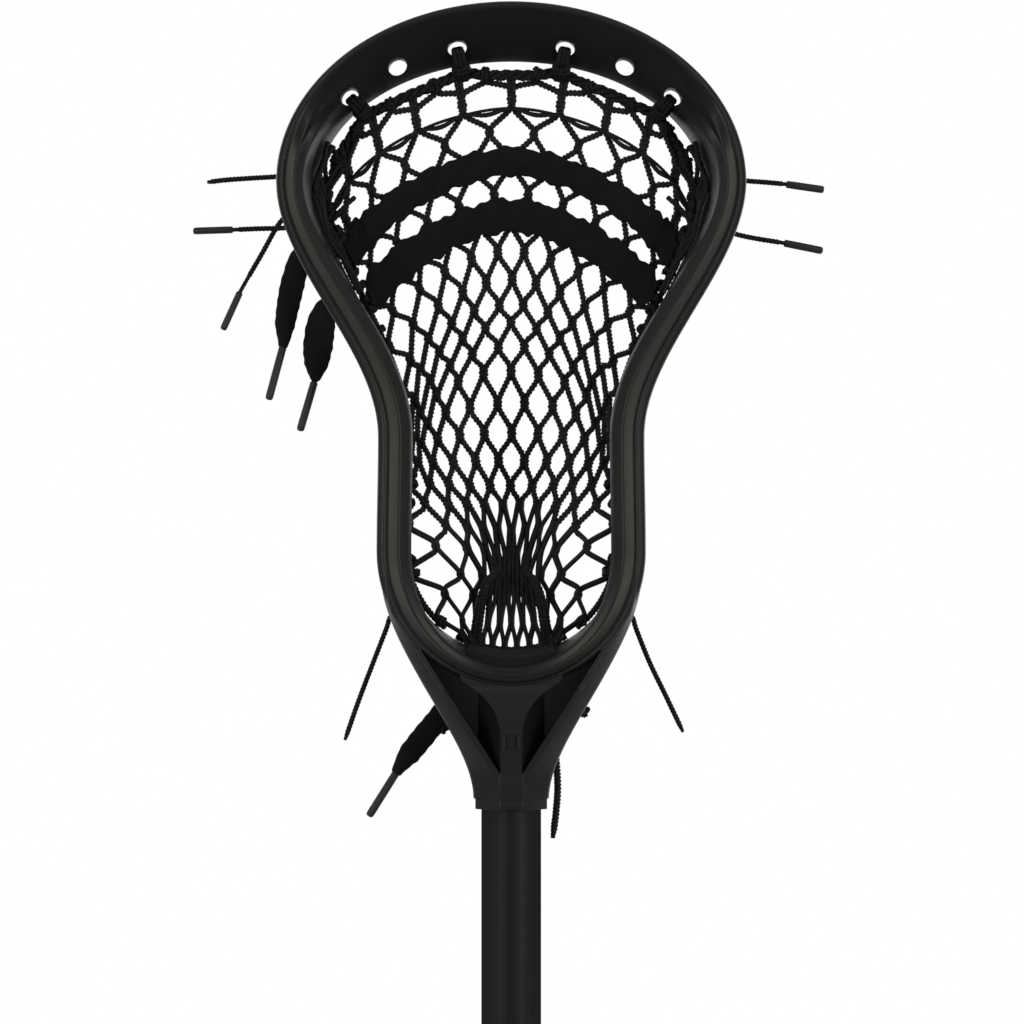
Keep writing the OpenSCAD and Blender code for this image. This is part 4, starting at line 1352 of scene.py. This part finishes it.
# outline of a recess: along the round base, then a wide flare down into the spine
def recessPoints(keep, sign):
    radius = head["base"] / 2 - 2
    points = [(keep, throat["collarH"]), (recessX + 0.4, recessH + 0.6)]
    edge = keep + throat["filletW"]
    for i in range(11):
        x = mix(recessX - 2, edge, i / 10)
        points.append((x, head["baseHeight"] - math.sqrt(radius ** 2 - x * x)))
    top = head["baseHeight"] - math.sqrt((head["base"] / 2) ** 2 - edge * edge) - 0.4
    low = top - throat["filletH"]
    a, b = Vector((edge, top)), Vector((mix(keep, edge, 0.57), top - 4.6))
    c, d = Vector((keep, mix(low, top, 0.58))), Vector((keep, low))
    for i in range(1, 15):
        t = i / 14
        spot = a * (1 - t) ** 3 + b * 3 * t * (1 - t) ** 2
        spot = spot + c * 3 * t * t * (1 - t) + d * t ** 3
        points.append(tuple(spot))
    return [(sign * x, h) for x, h in points]


def octagonPoints(grow):
    nose, d, w, side = throat["nose"] / 2, throat["shaftD"] / 2, throat["shaftW"] / 2, throat["side"] / 2
    v = Vector((d - side, w - nose)).normalized()
    reach = v.x * nose + v.y * d + grow
    x = (reach - v.y * (d + grow)) / v.x
    y = (reach - v.x * (w + grow)) / v.y
    return [
        (x, -d - grow), (w + grow, -y), (w + grow, y), (x, d + grow),
        (-x, d + grow), (-w - grow, y), (-w - grow, -y), (-x, -d - grow),
    ]


# octagonal bar up the shaft's axis between two heights above the collar
def octagonForm(grow, low, high, soften=0.0):
    form = pulledForm([(x, y, head["low"] + low) for x, y in octagonPoints(grow)], (0, 0, high - low))
    if soften:
        rims = [e for e in form.edges if e.calc_face_angle(0) > math.radians(20)]
        bmesh.ops.bevel(
            form, geom=rims, offset=soften * mm, affect="EDGES", segments=3, profile=0.5, material=-1
        )
    return form


# seat of the head screw, in the back of the throat
def seatForm():
    spot = (0, throat["shaftD"] / 2 + 8.7, head["low"] + throat["screwH"])
    return holeForm(spot, yWay, throat["screwSeat"], 12, steps=32)


throatCutForms = [mouthForm]
for sign in (-1, 1):
    throatCutForms.append(barForm(recessPoints(throat["spine"] / 2, sign), -60, -5, 0.8))
    throatCutForms.append(barForm(recessPoints(throat["spine"], sign), 9, 60, 0.8))
throatCutForms.append(octagonForm(throat["play"], -2, throat["socket"]))
half = throat["sink"] / 2
sinkFront = throatFront(26.5)
sinkOutline = [(sign * half, throat["sinkLow"]) for sign in (-1, 1)]
sinkOutline += [(sign * half, throat["sinkHigh"]) for sign in (1, -1)]
throatCutForms.append(barForm(sinkOutline, sinkFront - 5, sinkFront + throat["sinkDeep"], 0.6))
throatCutForms.append(seatForm())
throatMesh = carved(meshFrom(throatForm, "head_throat"), throatCutForms, "head_throat", 30)
finishPiece("head_throat", throatMesh, "head_plastic", ["head_frame"], smooth=False)
for side, sign in (("left", -1), ("right", 1)):
    middle = head["low"] + (throat["sinkLow"] + throat["sinkHigh"]) / 2
    rim = holeForm((sign * half, sinkFront + 0.1, middle), (0, 0, 1), throat["sinkRim"], 5, steps=16)
    rimMesh = meshFrom(rim, "head_sink_rim", 40)
    finishPiece("head_sink_rim_" + side, rimMesh, "head_plastic", ["head_frame"], smooth=False)

# collar with its rebated lip, and the socket that stands in the recesses
collarParts = (
    ("head_collar", throat["play"] + throat["collarWall"], throat["lip"], throat["collarH"], 0.25),
    ("head_collar_lip", throat["play"] + throat["collarWall"] - 0.4, 0, throat["lip"] + 0.5, 0.4),
    ("head_socket", throat["play"] + 1.1, 1, throat["socket"] + throat["socketWall"], 0.8),
)
for name, grow, low, high, soften in collarParts:
    outer = meshFrom(octagonForm(grow, low, high, soften), name)
    bore = octagonForm(throat["play"], -2, throat["socket"] + throat["play"])
    screwSpot = (0, throat["shaftD"] / 2, head["low"] + throat["screwH"])
    screwHole = holeForm(screwSpot, yWay, throat["screwHole"], 12, steps=20)
    partMesh = carved(outer, [bore, seatForm(), screwHole], name, 30)
    finishPiece(name, partMesh, "head_plastic", ["head_frame"], smooth=False)
print("throat and collar made")

# ball stop: a crowned foam pad
padSet = {"thick": 2.0, "edge": 0.8, "span": 0.27, "sides": 36, "stations": 64}


def padSpot(u, w):
    s = w * 2 - 1
    p = 4 - padSet["span"] * abs(s)
    p = p if s > 0 else -p
    q = abs(p)
    t = padSet["edge"] + (padSet["thick"] - padSet["edge"]) * (1 - s ** 4)
    wide, l, f, b = rail(q) + 0.5, lean(q), front(q), back(q)
    corners = (
        (wide, f + 5, 0.3), (wide + 0.3 * l, f + 9.2, 0.5), (wide + l - 0.5, b - 3, 0.5),
        (wide + l + t * 0.8, b - 4, 2.5), (wide + 0.3 * l + t, f + 11, 3.5), (wide + t, f + 7, 2.5),
    )
    ring = rounded(corners, 5)
    n, y = ring[round(u * padSet["sides"]) % padSet["sides"]]
    return place(p, n, y)


padForm = bentGrid(padSet["sides"], padSet["stations"], padSpot, joinU=True, capEnds=True)
pad = finishPiece("ball_stop_pad", meshFrom(padForm, "ball_stop_pad", 50), "pad_foam", ["ball_stop"])

# CAD nodes that stay get better finishes
for name, slotName in (("shaft", "shaft_alloy"), ("end_cap", "cap_rubber"), ("head_screw", "screw_steel")):
    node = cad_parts[name]
    node.data.materials.clear()
    node.data.materials.append(finishes[slotName])

# loops that tie the top string down through the scoop's holes
loopLines = []
for sign in (-1, 1):
    for q in stringSet["ties"]:
        n, y = scoopPoint(q, stringSet["holeAt"])
        run = Vector(scoopRun(q)).normalized()
        way = inward(sign * q)
        normal = Vector((way[0] * run.y, -run.x, way[1] * run.y))
        hole = place(sign * q, n, y)
        band = topSpot(sign * q)
        side = normal.cross(band - hole).normalized()
        toBand = band - hole
        lift = 1.6 + 3 * (1 - scoopShare(q))
        for share in (-1.7, 0, 1.7):
            loopLines.append(smoothLine([
                hole + yWay * 5 + side * share * 0.5,
                hole + yWay * 0.6 + toBand * 0.1 + side * share * 0.9,
                hole + normal * lift + toBand * 0.3 + side * share,
                band - yWay * 3.2 + side * share,
                band - yWay * 1.5 + toBand * 0.22 + side * share * 0.8,
                band + yWay * 2 + toBand * 0.15 + side * share * 0.6,
            ], 0.4))
        turnSpot = hole.lerp(band, 0.72) - yWay * 1.2 + normal * 0.6
        loopLines.append(coil(turnSpot, toBand, 2.9, 2.2, 1.9))
loopMesh = sweptCord(loopLines, stringSet["loop"], "knot")
finishPiece("top_string_ties", loopMesh, "string_cord", ["top_string_loops"])

# floor, backdrop and world
floorForm = bmesh.new()
bmesh.ops.create_grid(floorForm, x_segments=1, y_segments=1, size=3)
bmesh.ops.translate(floorForm, verts=floorForm.verts, vec=(0, 0, cadBox[0].z - 0.0005))
floor = bpy.data.objects.new("floor", meshFrom(floorForm, "floor"))
scene.collection.objects.link(floor)
# the paper thins out away from the stick, so that the white world carries on from it
paper = Finish("paper", Base_Color=(0.86, 0.86, 0.86, 1), Roughness=0.9, Specular_IOR_Level=0.1)
reach = paper.add("ShaderNodeVectorMath", {"operation": "LENGTH"}, [paper.place()], "Value")
paper.link(Alpha=paper.ramp(reach * 0.5, (0.3, 1), (0.55, 0)))
floor.data.materials.append(paper.data)

world = bpy.data.worlds.new("studio")
world.use_nodes = True
scene.world = world
tree = world.node_tree
plain = tree.nodes["Background"]
plain.inputs["Color"].default_value = (1.0, 1.0, 0.97, 1)
plain.inputs["Strength"].default_value = 0.28
bright = tree.nodes.new("ShaderNodeBackground")
bright.inputs["Color"].default_value = (1, 1, 1, 1)
bright.inputs["Strength"].default_value = 1.0
rays = tree.nodes.new("ShaderNodeLightPath")
seen = rays.outputs["Is Camera Ray"]
for kind in ("Is Glossy Ray", "Is Transmission Ray"):
    either = tree.nodes.new("ShaderNodeMath")
    either.operation = "MAXIMUM"
    tree.links.new(seen, either.inputs[0])
    tree.links.new(rays.outputs[kind], either.inputs[1])
    seen = either.outputs[0]
choose = tree.nodes.new("ShaderNodeMixShader")
tree.links.new(seen, choose.inputs[0])
tree.links.new(plain.outputs[0], choose.inputs[1])
tree.links.new(bright.outputs[0], choose.inputs[2])
tree.links.new(choose.outputs[0], tree.nodes["World Output"].inputs["Surface"])
print("stage set")
